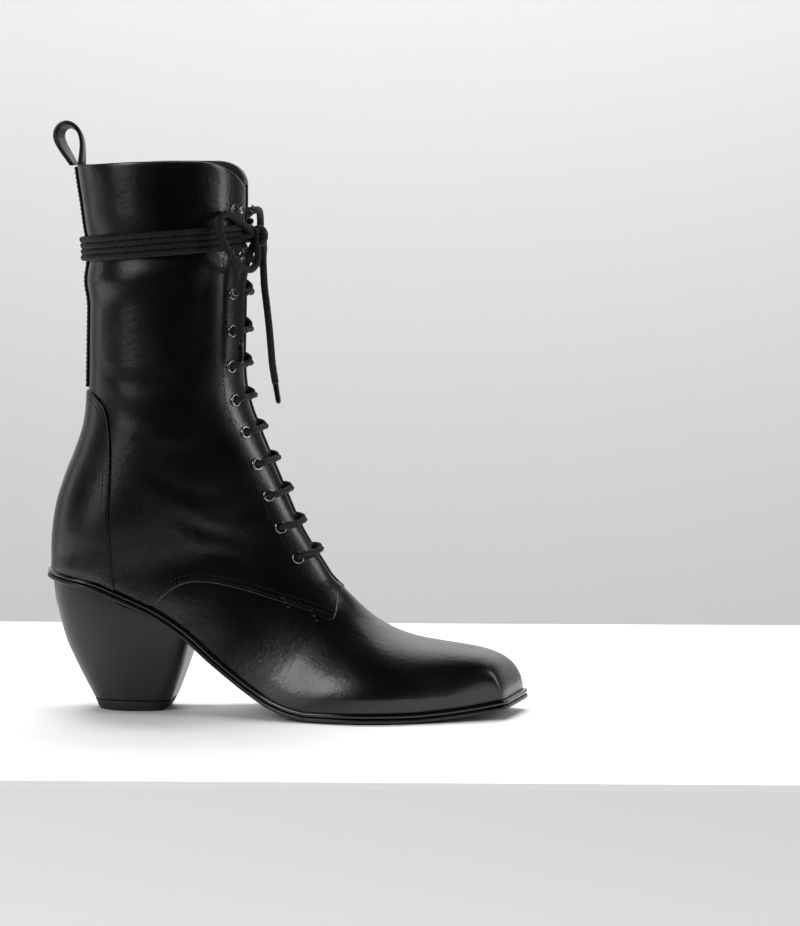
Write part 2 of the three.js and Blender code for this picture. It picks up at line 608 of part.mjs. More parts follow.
const heelUp = heelRows.map((row) => row.up * seatHeight);
const heelCurve = Object.fromEntries(
  ["back", "breast", "half"].map((name) => [name, monotone(heelUp, heelRows.map((row) => row[name]))]),
);
function heelRing(z) {
  const back = heelCurve.back(z) * heelDepth;
  const breast = heelCurve.breast(z) * heelDepth;
  const half = heelCurve.half(z) * seatWidth;
  const centre = mix(back, breast, 0.5);
  const breastHalf = half * 0.9;
  const corner = 3;
  const round = rowSteps(-Math.PI / 2, Math.PI / 2, 16).map((a) => [
    centre - (centre - back) * Math.pow(Math.cos(a), 0.94),
    half * Math.sign(Math.sin(a)) * Math.pow(Math.abs(Math.sin(a)), 0.94),
  ]);
  const breastSide = [[breast - corner, breastHalf + 0.3], [breast - 0.8, breastHalf - 0.9], [breast, breastHalf - corner]];
  const points = [...round, ...breastSide, ...breastSide.map(([x, y]) => [x, -y]).reverse()];
  return points.map(([x, y]) => new THREE.Vector3(x, y, z));
}
const heelTopLimit = sidePrism([...belowFeather(soleStack + clearance), [farFront, farDown], [farBack, farDown]]);
const heelBlock = loft(rowSteps(liftHeight + clearance, seatHeight * 1.14, 8).map(heelRing)).intersect(heelTopLimit);
const heelLift = loft([0, liftHeight * 0.5, liftHeight].map(heelRing));

// Counter, back strap and pull loop

const counterRegion = sidePrism([...lineOf(counterSeam), [forward(0.16), 0], [farBack, 0]]);
const outside = form(clearance);
const counter = form(clearance + counterThickness)
  .subtract(outside)
  .intersect(counterRegion)
  .intersect(upperRegion);
const strapBottom = upLeg(0.462) + clearance;
const backStrap = form(clearance + strapThickness)
  .subtract(outside)
  .intersect(sidePrism([[farBack, strapBottom], [0, strapBottom], [0, collarBack], [farBack, collarBack]],
    -strapHalfWidth, strapHalfWidth));

// The loop's middle line: out as a share of its reach, up as a share of its height
const loopRows = [
  { out: 0.1, up: 0 }, { out: 0.45, up: 0.06 }, { out: 0.8, up: 0.2 }, { out: 0.98, up: 0.42 },
  { out: 0.93, up: 0.68 }, { out: 0.8, up: 0.9 }, { out: 0.6, up: 1 }, { out: 0.38, up: 0.9 },
  { out: 0.2, up: 0.62 }, { out: 0.04, up: 0.3 }, { out: -0.13, up: 0 },
];
const loopFoot = { x: sectionAt(1.0).backX, z: collarBack + clearance };
const loopPath = new THREE.SplineCurve(
  loopRows.map((row) => new THREE.Vector2(loopFoot.x - row.out * loopReach, loopFoot.z + row.up * loopHeight)),
).getPoints(20);
const loopSides = [-1, 1].map((side) => loopPath.map((point, i) => {
  const tangent = loopPath[Math.min(i + 1, loopPath.length - 1)].clone().sub(loopPath[Math.max(i - 1, 0)]).normalize();
  const shift = (side * loopThickness) / 2;
  return [point.x - tangent.y * shift, Math.max(point.y + tangent.x * shift, loopFoot.z)];
}));
const pullLoop = sidePrism([...loopSides[0], ...loopSides[1].reverse()], -strapHalfWidth, strapHalfWidth);

// Zip on the inner side

// Point over the inner side of the upper, given in side view
function innerPoint(x, z, offset) {
  const s = rootOf((section) => {
    const { frontX, frontZ, backX, backZ } = sectionAt(section);
    return (backX - frontX) * (z - frontZ) - (backZ - frontZ) * (x - frontX) > 0;
  }, 0, legRows.length + 5);
  const { frontX, frontZ, backX, backZ, widest, round, square } = sectionAt(s);
  const reach = (backX - frontX) ** 2 + (backZ - frontZ) ** 2;
  const along = ((x - frontX) * (backX - frontX) + (z - frontZ) * (backZ - frontZ)) / reach;
  const angle = along < widest
    ? Math.acos((1 - along / widest) ** (round / 2))
    : Math.acos(-(((along - widest) / (1 - widest)) ** (square / 2)));
  return lifted(s, 2 * Math.PI - angle, offset);
}

// A strip on the inner side that follows the zip's line, between two distances from it
const zipCurve = new THREE.SplineCurve(lineOf(zipLine).map(([x, z]) => new THREE.Vector2(x, z)));
const zipStart = rootOf((t) => zipCurve.getPointAt(t).y > collarMiddle - 2 * clearance, 0, 0.4);
function zipStrip(near, far, thickness, end, across) {
  return loft(rowSteps(zipStart, end, 16).map((t) => {
    const [middle, tangent] = [zipCurve.getPointAt(t), zipCurve.getTangentAt(t)];
    const at = (distance, offset) =>
      innerPoint(middle.x - tangent.y * distance, middle.y + tangent.x * distance, offset);
    const distances = rowSteps(near, far, across);
    return [
      ...distances.map((distance) => at(distance, 1.5 * clearance)),
      ...distances.reverse().map((distance) => at(distance, 1.5 * clearance + thickness)),
    ];
  }));
}
const placketFront = zipStrip(placket.slit, placket.halfWidth, placket.thickness, 1, 2);
const placketBack = zipStrip(-placket.halfWidth, -placket.slit, placket.thickness, 1, 2);
const zipChain = zipStrip(-zipTeeth.halfWidth, zipTeeth.halfWidth, zipTeeth.thickness, 0.96, 1);

// Place on the inner side of the leg at a given height: the section there and its widest point
function innerLeg(z) {
  const s = rootOf((section) => lastPoint(section, 1.5 * Math.PI).z > z, 0, 8);
  return { s, turn: 1.5 * Math.PI };
}
const zipX = forward(zipLine[0].x);
const sliderZ = collarMiddle - slider.drop;
const sliderSeat = (() => {
  const { s, turn } = innerLeg(sliderZ);
  return lifted(s, turn, clearance + placket.thickness + 0.6);
})();
const boxAt = (width, depth, height, x, y, z) => toSolid(new THREE.BoxGeometry(width, depth, height).translate(x, y, z));
const alongX = (radius, length, x, y, z, segments = 10) =>
  toSolid(new THREE.CylinderGeometry(radius, radius, length, segments).rotateZ(Math.PI / 2).translate(x, y, z));
const hinge = {
  x: zipX,
  y: sliderSeat.y + slider.thickness + pullTab.barrel + clearance,
  z: sliderZ + slider.length / 2 - 2,
};
const lugGap = pullTab.barrel * 2.4;
let zipSlider = boxAt(slider.width, slider.thickness, slider.length, zipX, sliderSeat.y + slider.thickness / 2, sliderZ);
for (const side of [-1, 1]) {
  const lugX = zipX + side * (lugGap / 2 + 0.5);
  const lugHeight = slider.thickness + pullTab.barrel + clearance + pullTab.pin + 0.4;
  zipSlider = zipSlider.add(boxAt(1, lugHeight, 2.6, lugX, sliderSeat.y + lugHeight / 2, hinge.z));
}
zipSlider = zipSlider.add(alongX(pullTab.pin, lugGap + 1, hinge.x, hinge.y, hinge.z));
const pullLength = pullTab.length - pullTab.barrel;
const pull = alongX(pullTab.barrel, lugGap - 2 * clearance, hinge.x, hinge.y, hinge.z)
  .add(boxAt(lugGap - 2 * clearance, pullTab.thickness, 6, hinge.x, hinge.y, hinge.z - 3))
  .add(boxAt(pullTab.width, pullTab.thickness, pullLength - 5, hinge.x, hinge.y, hinge.z - 5 - (pullLength - 5) / 2))
  .subtract(alongX(pullTab.bore, lugGap, hinge.x, hinge.y, hinge.z))
  .subtract(boxAt(pullTab.width / 2, 4, 3, hinge.x, hinge.y, hinge.z - pullTab.length + 4.5));

// Eyelets and hooks along the facings

const ridgeSteps = rowSteps(throatSection, 0, 400);
const ridgeRun = [0];
for (let i = 1; i < ridgeSteps.length; i++) {
  ridgeRun.push(ridgeRun[i - 1] + lastPoint(ridgeSteps[i], 0).distanceTo(lastPoint(ridgeSteps[i - 1], 0)));
}
const sectionUpRidge = (run) => ridgeSteps[Math.max(1, ridgeRun.findIndex((length) => length > run))];

// Turn of the section at a distance from the front ridge, measured round the section
function turnAcross(s, distance) {
  let [turn, run] = [0, 0];
  let last = lastPoint(s, 0);
  while (run < distance) {
    turn += 0.004;
    const point = lastPoint(s, turn);
    run += point.distanceTo(last);
    last = point;
  }
  return turn;
}
function facingPlace(run, side, distance, offset) {
  const s = sectionUpRidge(run);
  const turn = turnAcross(s, distance);
  const signed = side < 0 ? turn : 2 * Math.PI - turn;
  return { point: lifted(s, signed, offset), normal: lastNormal(s, signed) };
}
const eyeletRuns = Array.from({ length: eyeletCount }, (_, i) => firstEyelet + i * eyeletPitch);
const hookRuns = Array.from({ length: hookCount - 1 }, (_, i) => eyeletRuns.at(-1) + hookRise + i * hookPitch);
hookRuns.push(hookRuns.at(-1) + hookStep);
const eyeletLine = throatHalfGap + eyeletInset;
const facingSag = 0.1; // the leather curves away under a flat ring

function seated(geometry, { point, normal }) {
  const turned = new THREE.Quaternion().setFromUnitVectors(new THREE.Vector3(0, 1, 0), normal);
  return geometry.applyQuaternion(turned).translate(point.x, point.y, point.z);
}
const lathe = (profile, segments) =>
  new THREE.LatheGeometry(profile.map(([r, y]) => new THREE.Vector2(r, y)), segments);
const eyeletProfile = [
  [eyeletHole, 0], [eyeletRadius, 0], [eyeletRadius * 0.8, eyeletThickness], [eyeletHole, eyeletThickness * 0.8],
  [eyeletHole, 0],
];
const hookProfile = [
  [0, 0], [hookRadius, 0], [hookRadius * 0.9, 0.8], [1.1, 0.9], [1.1, hookHeight - 0.9],
  [hookRadius * 0.85, hookHeight], [0, hookHeight],
];

// Lace

function tube(points, radius, sides, steps) {
  const curve = new THREE.CatmullRomCurve3(points, false, "centripetal");
  const section = new THREE.Shape(rowSteps(0, 2 * Math.PI, sides).slice(0, -1).map((a) =>
    new THREE.Vector2(radius * Math.cos(a), radius * Math.sin(a))));
  return toSolid(new THREE.ExtrudeGeometry(section, { steps, extrudePath: curve, bevelEnabled: false }));
}
const laceRadius = laceThickness / 2;
const laceOver = eyeletThickness + facingSag + laceRadius + 2 * clearance;

// One crossing: a strand from each eyelet or hook over its facing edge, up across the gap
function laceCrossing(run, nextRun, onHook) {
  const start = onHook ? eyeletLine - hookRadius - laceRadius - 2 * clearance : eyeletLine;
  const strand = (side, order) => {
    const place = (share, distance, offset, at) =>
      facingPlace(mix(run, nextRun, share), at, distance, offset).point;
    return tube([
      place(0, start, onHook ? laceRadius + clearance : laceOver, side),
      place(0.15, (start + throatHalfGap) / 2, laceOver + 0.5, side),
      place(0.3, throatHalfGap - 1, laceOver + 1 + order, side),
      place(0.5, 0.01, laceOver + 0.9 + order, side),
      place(0.62, 3, laceOver + 0.3, -side),
    ], laceRadius, 5, 4);
  };
  return strand(-1, 0.5).add(strand(1, -0.5));
}

// Turns of lace round the shaft: rows side by side, joined into one band
const wrapFront = lastPoint(sectionUpRidge(hookRuns.at(-2) + wrapHeight), 0);
const wrapCentre = (x) => wrapFront.z + wrapSlope * (x - wrapFront.x);
const wrapTop = (wrapRows * wrapPitch) / 2;
function wrapRing(turn) {
  const sectionWhere = (up) => rootOf((section) => {
    const point = lastPoint(section, turn);
    return point.z > wrapCentre(point.x) + up;
  }, 0, 6);
  const middle = lastPoint(sectionWhere(0), turn);
  const overStrap = middle.x < 0 && Math.abs(middle.y) < strapHalfWidth + 8;
  const overPlacket = middle.y > 0 && Math.abs(middle.x - zipX) < placket.halfWidth + 8;
  const inner = 2.6 * clearance + (overStrap ? strapThickness : 0) + (overPlacket ? placket.thickness : 0);
  const points = [[inner, wrapTop - 0.3], [inner, 0.3 - wrapTop]];
  for (let row = 0; row < wrapRows; row++) {
    const low = -wrapTop + row * wrapPitch;
    points.push([inner + laceThickness * 0.55, low + 0.15]);
    points.push([inner + laceThickness * 0.95, low + wrapPitch / 2]);
  }
  points.push([inner + laceThickness * 0.55, wrapTop - 0.15]);
  return points.map(([out, up]) => lifted(sectionWhere(up), turn, out));
}
const wraps = closedLoft(rowSteps(0, 2 * Math.PI, 28).slice(0, -1).map(wrapRing));

const toPoints = (rows) => rows.map(([x, y, z]) => new THREE.Vector3(x + wrapFront.x, y, z + wrapFront.z));
const cord = (rows, steps) => tube(toPoints(rows), laceRadius * 0.98, 8, steps);
const laceKnot = toSolid(
  new THREE.SphereGeometry(1, 9, 6).scale(...knot.half).translate(wrapFront.x + knot.x, knot.y, wrapFront.z + knot.z),
);
function agletOn(rows) {
  const [before, end] = toPoints(rows).slice(-2);
  const direction = end.clone().sub(before).normalize();
  const middle = end.clone().addScaledVector(direction, aglet.length / 2 + clearance);
  return toSolid(seated(new THREE.CylinderGeometry(aglet.radius, aglet.radius, aglet.length, 10), { point: middle, normal: direction }));
}

// The boot

const boot = new THREE.Group();
function place(name, solid, material) {
  const { vertProperties, triVerts } = solid.getMesh();
  const geometry = new THREE.BufferGeometry();
  geometry.setAttribute("position", new THREE.BufferAttribute(vertProperties, 3));
  geometry.setIndex(new THREE.BufferAttribute(triVerts, 1));
  const mesh = new THREE.Mesh(geometry, material);
  mesh.name = name;
  boot.add(mesh);
}

place("upper", upper, leatherBlack);
place("tongue", tongue, leatherBlack);
place("insole", insole, liningGrey);
place("bead", bead, leatherBlack);
place("outsole", outsole, soleBlack);
place("forefoot_rubber", forefootPad, rubberBlack);
place("heel_block", heelBlock, leatherBlack);
place("heel_top_piece", heelLift, rubberBlack);
place("counter", counter, leatherBlack);
place("back_strap", backStrap, leatherBlack);
place("pull_loop", pullLoop, leatherBlack);
place("zip_placket_front", placketFront, leatherBlack);
place("zip_placket_back", placketBack, leatherBlack);
place("zip_chain", zipChain, gunmetal);
place("zip_slider", zipSlider, gunmetal);
place("zip_pull", pull, gunmetal);

for (const [side, sideName] of [[-1, "outer"], [1, "inner"]]) {
  eyeletRuns.forEach((run, i) => {
    const seat = facingPlace(run, side, eyeletLine, clearance + facingSag);
    place(`eyelet_${sideName}_${i + 1}`, toSolid(seated(lathe(eyeletProfile, 7), seat)), gunmetal);
  });
  hookRuns.forEach((run, i) => {
    const seat = facingPlace(run, side, eyeletLine, clearance + facingSag);
    place(`hook_${sideName}_${i + 1}`, toSolid(seated(lathe(hookProfile, 8), seat)), gunmetal);
  });
}

const laceRuns = [...eyeletRuns, ...hookRuns.slice(0, -1)];
laceRuns.slice(0, -1).forEach((run, i) => {
  place(`lace_crossing_${i + 1}`, laceCrossing(run, laceRuns[i + 1], i >= eyeletCount), laceBlack);
});
place("lace_wraps", wraps, laceBlack);
place("lace_knot", laceKnot, laceBlack);
place("lace_loop_near", cord(nearLoop, 12), laceBlack);
place("lace_loop_far", cord(farLoop, 12), laceBlack);
place("lace_end_near", cord(nearEnd, 7), laceBlack);
place("lace_end_far", cord(farEnd, 9), laceBlack);
place("aglet_near", agletOn(nearEnd), laceBlack);
place("aglet_far", agletOn(farEnd), laceBlack);

export default boot;
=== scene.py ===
import math
import bpy
import numpy as np
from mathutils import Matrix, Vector


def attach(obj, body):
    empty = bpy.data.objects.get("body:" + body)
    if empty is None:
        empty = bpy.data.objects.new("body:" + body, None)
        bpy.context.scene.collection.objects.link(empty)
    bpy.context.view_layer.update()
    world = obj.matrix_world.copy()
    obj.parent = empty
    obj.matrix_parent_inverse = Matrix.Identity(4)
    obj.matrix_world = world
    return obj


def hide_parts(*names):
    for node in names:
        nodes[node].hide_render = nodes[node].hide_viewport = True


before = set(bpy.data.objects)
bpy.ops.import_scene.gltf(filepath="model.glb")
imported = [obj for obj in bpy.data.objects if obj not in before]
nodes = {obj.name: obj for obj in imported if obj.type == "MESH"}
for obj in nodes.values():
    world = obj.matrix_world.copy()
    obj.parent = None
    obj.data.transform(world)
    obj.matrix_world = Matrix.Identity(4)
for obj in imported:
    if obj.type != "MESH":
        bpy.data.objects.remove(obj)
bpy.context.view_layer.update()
scene = bpy.context.scene
pi = math.pi
random = np.random.default_rng(7)
print("frame loaded")

# Everything below is in millimetres until a mesh is made
metre = 0.001

# Camera, as the photograph was taken: long lens, a little above the ankle
camera = {"place": (0.42254, -1.96027, 0.312), "turn": math.radians(8), "pitch": 0.0892366, "lens": 143.99}
cameraObject = bpy.data.objects.new("camera", bpy.data.cameras.new("camera"))
cameraObject.data.lens = camera["lens"]
cameraObject.data.sensor_width = 36
cameraObject.location = camera["place"]
cameraObject.rotation_euler = (pi / 2 - camera["pitch"], 0, camera["turn"])
cameraObject.data.clip_start, cameraObject.data.clip_end = 0.05, 30
scene.collection.objects.link(cameraObject)
scene.camera = cameraObject

# The last, with the same named sizes as the solids
heelBack, bootLength, seatHeight, shaftHeight = -44, 257, 71, 224
instepHeight, toeSpring, ballWidth = 70, 5.8, 86
clearance, beadGap, beadHeight = 0.3, 0.5, 2.2
wall, vampStep, tongueThickness, tongueHalfWidth = 2.2, 1.0, 1.8, 22
soleThickness, soleRecess, padThickness = 2.1, 0.7, 1.0
throatHalfGap, eyeletInset, eyeletCount, eyeletPitch, firstEyelet = 6, 10.5, 8, 18.3, 12
hookCount, hookPitch, hookRise, hookStep = 3, 20.5, 20, 24.2

featherRows = [
    (-0.016, 1.108, 0), (0.005, 1.088, 0), (0.116, 1.005, 0), (0.163, 0.932, 0), (0.239, 0.797, 0),
    (0.305, 0.628, 0), (0.375, 0.391, 0), (0.454, 0.169, 0), (0.5, 0.069, 0), (0.547, 0.015, 0),
    (0.576, 0, 0), (0.786, 0, 0), (0.833, 0, 0.103), (0.928, 0, 0.517), (0.969, 0, 0.828), (1.008, 0, 1.069),
]
# front x, front z, back x, back z, outer, inner, widest, round, square
legRows = [
    (0.423, 1.036, 0.061, 1.036, 0.442, 0.442, 0.5, 2, 2.1),
    (0.422, 0.978, 0.065, 0.975, 0.442, 0.442, 0.5, 2, 2.1),
    (0.421, 0.906, 0.075, 0.897, 0.436, 0.436, 0.5, 2, 2.1),
    (0.419, 0.808, 0.086, 0.795, 0.424, 0.424, 0.5, 2, 2.1),
    (0.418, 0.701, 0.089, 0.688, 0.413, 0.413, 0.5, 2, 2.1),
    (0.417, 0.607, 0.087, 0.585, 0.401, 0.401, 0.5, 2, 2.1),
    (0.416, 0.536, 0.085, 0.5, 0.395, 0.395, 0.5, 2, 2.1),
    (0.419, 0.475, 0.082, 0.429, 0.39, 0.39, 0.5, 2, 2.1),
    (0.43, 0.423, 0.074, 0.368, 0.386, 0.388, 0.5, 2, 2.1),
    (0.446, 0.375, 0.057, 0.31, 0.384, 0.39, 0.52, 2, 2.1),
    (0.466, 0.319, 0.037, 0.254, 0.381, 0.393, 0.55, 2, 2.1),
    (0.489, 0.257, 0.018, 0.188, 0.379, 0.393, 0.6, 2, 2.1),
    (0.511, 0.198, 0.008, 0.121, 0.372, 0.384, 0.66, 2, 2.1),
    (0.533, 0.141, 0.005, 0.058, 0.356, 0.36, 0.71, 2, 2.1),
]
# the same, then ridge and slant
footRows = [
    (0.556, 1.226, 0.011, -0.106, 0.342, 0.342, 0.75, 2, 2.2, 0, 0),
    (0.582, 1.093, 0.062, -0.327, 0.331, 0.302, 0.64, 2, 2.6, 0, 0),
    (0.603, 0.976, 0.171, -0.424, 0.32, 0.267, 0.62, 2, 3, 0, 0),
    (0.624, 0.9, 0.288, -0.48, 0.331, 0.262, 0.64, 1.95, 3, 0, 0),
    (0.646, 0.814, 0.389, -0.44, 0.395, 0.285, 0.64, 1.9, 3, 0.02, 0),
    (0.669, 0.726, 0.482, -0.357, 0.483, 0.355, 0.62, 1.9, 3, 0.04, 0),
    (0.696, 0.643, 0.564, -0.306, 0.535, 0.407, 0.56, 1.95, 3, 0.05, 0),
    (0.73, 0.571, 0.638, -0.307, 0.558, 0.445, 0.53, 2, 3, 0.06, 0),
    (0.774, 0.514, 0.708, -0.307, 0.535, 0.457, 0.5, 2.05, 3, 0.06, 0),
    (0.825, 0.473, 0.778, -0.3, 0.474, 0.437, 0.48, 2.15, 3, 0.05, 0.01),
    (0.879, 0.429, 0.844, -0.298, 0.395, 0.387, 0.46, 2.3, 3, 0.04, 0.03),
    (0.924, 0.376, 0.895, -0.274, 0.328, 0.337, 0.42, 2.6, 3, 0.02, 0.08),
    (0.957, 0.29, 0.926, -0.242, 0.279, 0.298, 0.36, 3.2, 3, 0.01, 0.13),
    (0.977, 0.176, 0.938, -0.235, 0.251, 0.272, 0.3, 4.2, 3, 0, 0.17),
    (0.987, 0.059, 0.942, -0.237, 0.23, 0.251, 0.3, 5, 3, 0, 0.18),
    (0.988, -0.092, 0.934, -0.247, 0.215, 0.238, 0.3, 5, 3, 0, 0.18),
]
vampSeam = [
    (0.241, -0.055), (0.26, -0.033), (0.279, -0.013), (0.311, 0.003), (0.357, 0.004), (0.42, -0.011),
    (0.504, -0.041), (0.567, -0.064), (0.611, -0.083), (0.621, -0.032), (0.623, 0.004), (0.616, 0.05),
]
counterSeam = [
    (-0.06, 0.462), (0.093, 0.455), (0.119, 0.44), (0.139, 0.412), (0.15, 0.344),
    (0.151, 0.248), (0.147, 0.152), (0.15, 0.056), (0.158, -0.05),
]
zipLine = [
    (0.268, 1.05), (0.269, 0.75), (0.271, 0.58), (0.284, 0.42),
    (0.315, 0.265), (0.358, 0.13), (0.41, 0.0), (0.455, -0.095),
]


def forward(share):
    return heelBack + share * bootLength


def upLeg(share):
    return seatHeight + share * shaftHeight


def mix(a, b, t):
    return a + (b - a) * t


def smooth(low, high, x):
    t = np.clip((np.asarray(x, float) - low) / (high - low), 0, 1)
    return t * t * (3 - 2 * t)


def monotone(xs, ys):
    xs, ys = np.array(xs, float), np.array(ys, float)
    steps = np.diff(ys) / np.diff(xs)
    slopes = np.concatenate([steps[:1], np.zeros(len(xs) - 2), steps[-1:]])
    product, total = steps[:-1] * steps[1:], steps[:-1] + steps[1:]
    slopes[1:-1] = np.where(product > 0, 2 * product / np.where(product > 0, total, 1), 0)

    def at(x):
        x = np.asarray(x, float)
        i = np.clip(np.searchsorted(xs, x, side="right") - 1, 0, len(xs) - 2)
        width = xs[i + 1] - xs[i]
        t = np.clip((x - xs[i]) / width, 0, 1)
        curve = mix(ys[i], ys[i + 1], t * t * (3 - 2 * t))
        curve = curve + t * (1 - t) * width * ((1 - t) * slopes[i] - t * slopes[i + 1])
        return curve + np.minimum(x - xs[0], 0) * slopes[0] + np.maximum(x - xs[-1], 0) * slopes[-1]

    return at


outsoleTop = beadHeight + 2 * beadGap
soleStack = outsoleTop + soleThickness
ballTop = padThickness + clearance - soleRecess + soleStack
featherAt = monotone(
    [forward(x) for x, _, _ in featherRows],
    [ballTop + arch * (seatHeight - ballTop) + spring * toeSpring for _, arch, spring in featherRows],
)


def featherRise(x):
    return (featherAt(x + 0.01) - featherAt(x - 0.01)) / 0.02


def tableRow(row, foot):
    frontX, frontZ, backX, backZ, outer, inner, widest, rounded, square = row[:9]
    ridge, slant = row[9:] if foot else (0, 0)
    frontX, backX = forward(frontX), forward(backX)
    if foot:
        frontZ = float(featherAt(frontX)) + frontZ * instepHeight
        backZ = float(featherAt(backX)) + backZ * instepHeight
    else:
        frontZ, backZ = upLeg(frontZ), upLeg(backZ)
    return [frontX, frontZ, backX, backZ, outer * ballWidth, inner * ballWidth,
            widest, rounded, square, ridge * ballWidth, slant]


sections = np.array([tableRow(r, False) for r in legRows] + [tableRow(r, True) for r in footRows])
lastSection = len(sections) - 1
throatSection = len(legRows) + 1.75


def sectionAt(s):
    s = np.asarray(s, float)
    i = np.clip(np.floor(s).astype(int), 0, lastSection - 1)
    t = (s - i)[..., None]
    a, b, c, d = (sections[np.clip(i + k, 0, lastSection)] for k in (-1, 0, 1, 2))
    return b + 0.5 * t * (c - a + t * (2 * a - 5 * b + 4 * c - d + t * (3 * (b - c) + d - a)))


# turn is 0 on the front ridge, then runs down the outer side to half a turn at the back
def lastPoint(s, turn):
    s, turn = np.broadcast_arrays(np.asarray(s, float), np.asarray(turn, float))
    frontX, frontZ, backX, backZ, outer, inner, widest, rounded, square, ridge, slant = np.moveaxis(sectionAt(s), -1, 0)
    turn = np.mod(turn, 2 * pi)
    outside = turn <= pi
    angle = np.where(outside, turn, 2 * pi - turn)
    front = angle <= pi / 2
    power = 2 / np.where(front, rounded, square)
    cosine = np.abs(np.cos(angle)) ** power
    sine = np.clip(np.sin(angle), 0, 1) ** power
    along = np.where(front, widest * (1 - cosine), mix(widest, 1, cosine))
    y = np.where(outside, -outer, inner) * sine + np.where(front, ridge * cosine, 0)
    return np.stack([mix(frontX, backX, along) + slant * y, y, mix(frontZ, backZ, along)], -1)


def unit(v):
    return v / np.maximum(np.linalg.norm(v, axis=-1, keepdims=True), 1e-12)


def lastNormal(s, turn):
    step = 0.004
    s = np.asarray(s, float)
    alongRow = lastPoint(s, turn + step) - lastPoint(s, turn - step)
    acrossRows = lastPoint(np.minimum(s + step, lastSection), turn) - lastPoint(np.maximum(s - step, 0), turn)
    return unit(np.cross(alongRow, acrossRows))


def lifted(s, turn, offset):
    return lastPoint(s, turn) + lastNormal(s, turn) * np.asarray(offset, float)[..., None]


# Lengths round the sections, in a table for each side, so that panels can be cut in millimetres
tableStep = 0.05
tableS = np.arange(0, lastSection + tableStep / 2, tableStep)
tableTurn = np.linspace(0, pi, 481)
arcTable = {}
for side in (-1, 1):
    ring = lastPoint(tableS[:, None], tableTurn if side < 0 else 2 * pi - tableTurn - 1e-9 * (tableTurn < 1e-6))
    ring[:, 0] = lastPoint(tableS, 0.0)
    runs = np.linalg.norm(np.diff(ring, axis=1), axis=-1)
    arcTable[side] = np.concatenate([np.zeros((len(tableS), 1)), np.cumsum(runs, 1)], 1)


def arcOf(s, turn, side):
    s, turn = np.broadcast_arrays(np.asarray(s, float), np.asarray(turn, float))
    a = np.clip(s / tableStep, 0, len(tableS) - 1.0001)
    b = np.clip(turn / pi * (len(tableTurn) - 1), 0, len(tableTurn) - 1.0001)
    i, j = a.astype(int), b.astype(int)
    u, v = a - i, b - j
    table = arcTable[side]
    return mix(mix(table[i, j], table[i, j + 1], v), mix(table[i + 1, j], table[i + 1, j + 1], v), u)


def turnOf(s, arc, side):
    s, arc = np.broadcast_arrays(np.asarray(s, float), np.asarray(arc, float))
    low, high = np.zeros(s.shape), np.full(s.shape, pi)
    for _ in range(26):
        middle = (low + high) / 2
        short = arcOf(s, middle, side) < arc
        low, high = np.where(short, middle, low), np.where(short, high, middle)
    return (low + high) / 2


def signedTurn(turn, side):
    return turn if side < 0 else 2 * pi - turn


def rootOf(test, low, high, count=34):
    low, high = np.array(low, float), np.array(high, float)
    for _ in range(count):
        middle = (low + high) / 2
        yes = test(middle)
        low, high = np.where(yes, middle, low), np.where(yes, high, middle)
    return low


# Section and turn of the place seen at (x, z) from that side
def placeOf(x, z, side, high=19.0):
    x, z = np.broadcast_arrays(np.asarray(x, float), np.asarray(z, float))

    def above(s):
        frontX, frontZ, backX, backZ = np.moveaxis(sectionAt(s)[..., :4], -1, 0)
        return (backX - frontX) * (z - frontZ) - (backZ - frontZ) * (x - frontX) > 0

    s = rootOf(above, np.zeros(x.shape), np.full(x.shape, high))
    row = sectionAt(s)
    frontX, frontZ, backX, backZ = (row[..., k] for k in range(4))
    widest, rounded, square = row[..., 6], row[..., 7], row[..., 8]
    reach = (backX - frontX) ** 2 + (backZ - frontZ) ** 2
    along = ((x - frontX) * (backX - frontX) + (z - frontZ) * (backZ - frontZ)) / reach
    near = np.clip(1 - along / widest, 0, 1) ** (rounded / 2)
    far = np.clip((along - widest) / (1 - widest), 0, 1) ** (square / 2)
    angle = np.where(along < widest, np.arccos(near), np.arccos(-far))
    return s, signedTurn(angle, side)


def spline(points, count, closed=False):
    points = np.array(points, float)
    if closed:
        points = np.concatenate([points[-1:], points, points[:2]])
    else:
        points = np.concatenate([2 * points[:1] - points[1:2], points, 2 * points[-1:] - points[-2:-1]])
    gaps = np.maximum(np.linalg.norm(np.diff(points, axis=0), axis=1) ** 0.5, 1e-6)
    knots = np.concatenate([[0], np.cumsum(gaps)])
    fine = []
    for i in range(1, len(points) - 2):
        t = np.linspace(knots[i], knots[i + 1], 24, endpoint=False)[:, None]
        k0, k1, k2, k3 = knots[i - 1:i + 3]
        p0, p1, p2, p3 = points[i - 1:i + 3]
        a1 = (k1 - t) / (k1 - k0) * p0 + (t - k0) / (k1 - k0) * p1
        a2 = (k2 - t) / (k2 - k1) * p1 + (t - k1) / (k2 - k1) * p2
        a3 = (k3 - t) / (k3 - k2) * p2 + (t - k2) / (k3 - k2) * p3
        b1 = (k2 - t) / (k2 - k0) * a1 + (t - k0) / (k2 - k0) * a2
        b2 = (k3 - t) / (k3 - k1) * a2 + (t - k1) / (k3 - k1) * a3
        fine.append((k2 - t) / (k2 - k1) * b1 + (t - k1) / (k2 - k1) * b2)
    fine = np.concatenate(fine + [points[-2:-1]])
    return evenly(fine, count)


def runOf(points):
    return np.concatenate([[0], np.cumsum(np.linalg.norm(np.diff(points, axis=0), axis=1))])


def evenly(points, count):
    run = runOf(points)
    at = np.linspace(0, run[-1], count)
    return np.stack([np.interp(at, run, points[:, k]) for k in range(points.shape[1])], 1)


def sideLine(rows, count=240):
    return spline([(forward(x), upLeg(z)) for x, z in rows], count)


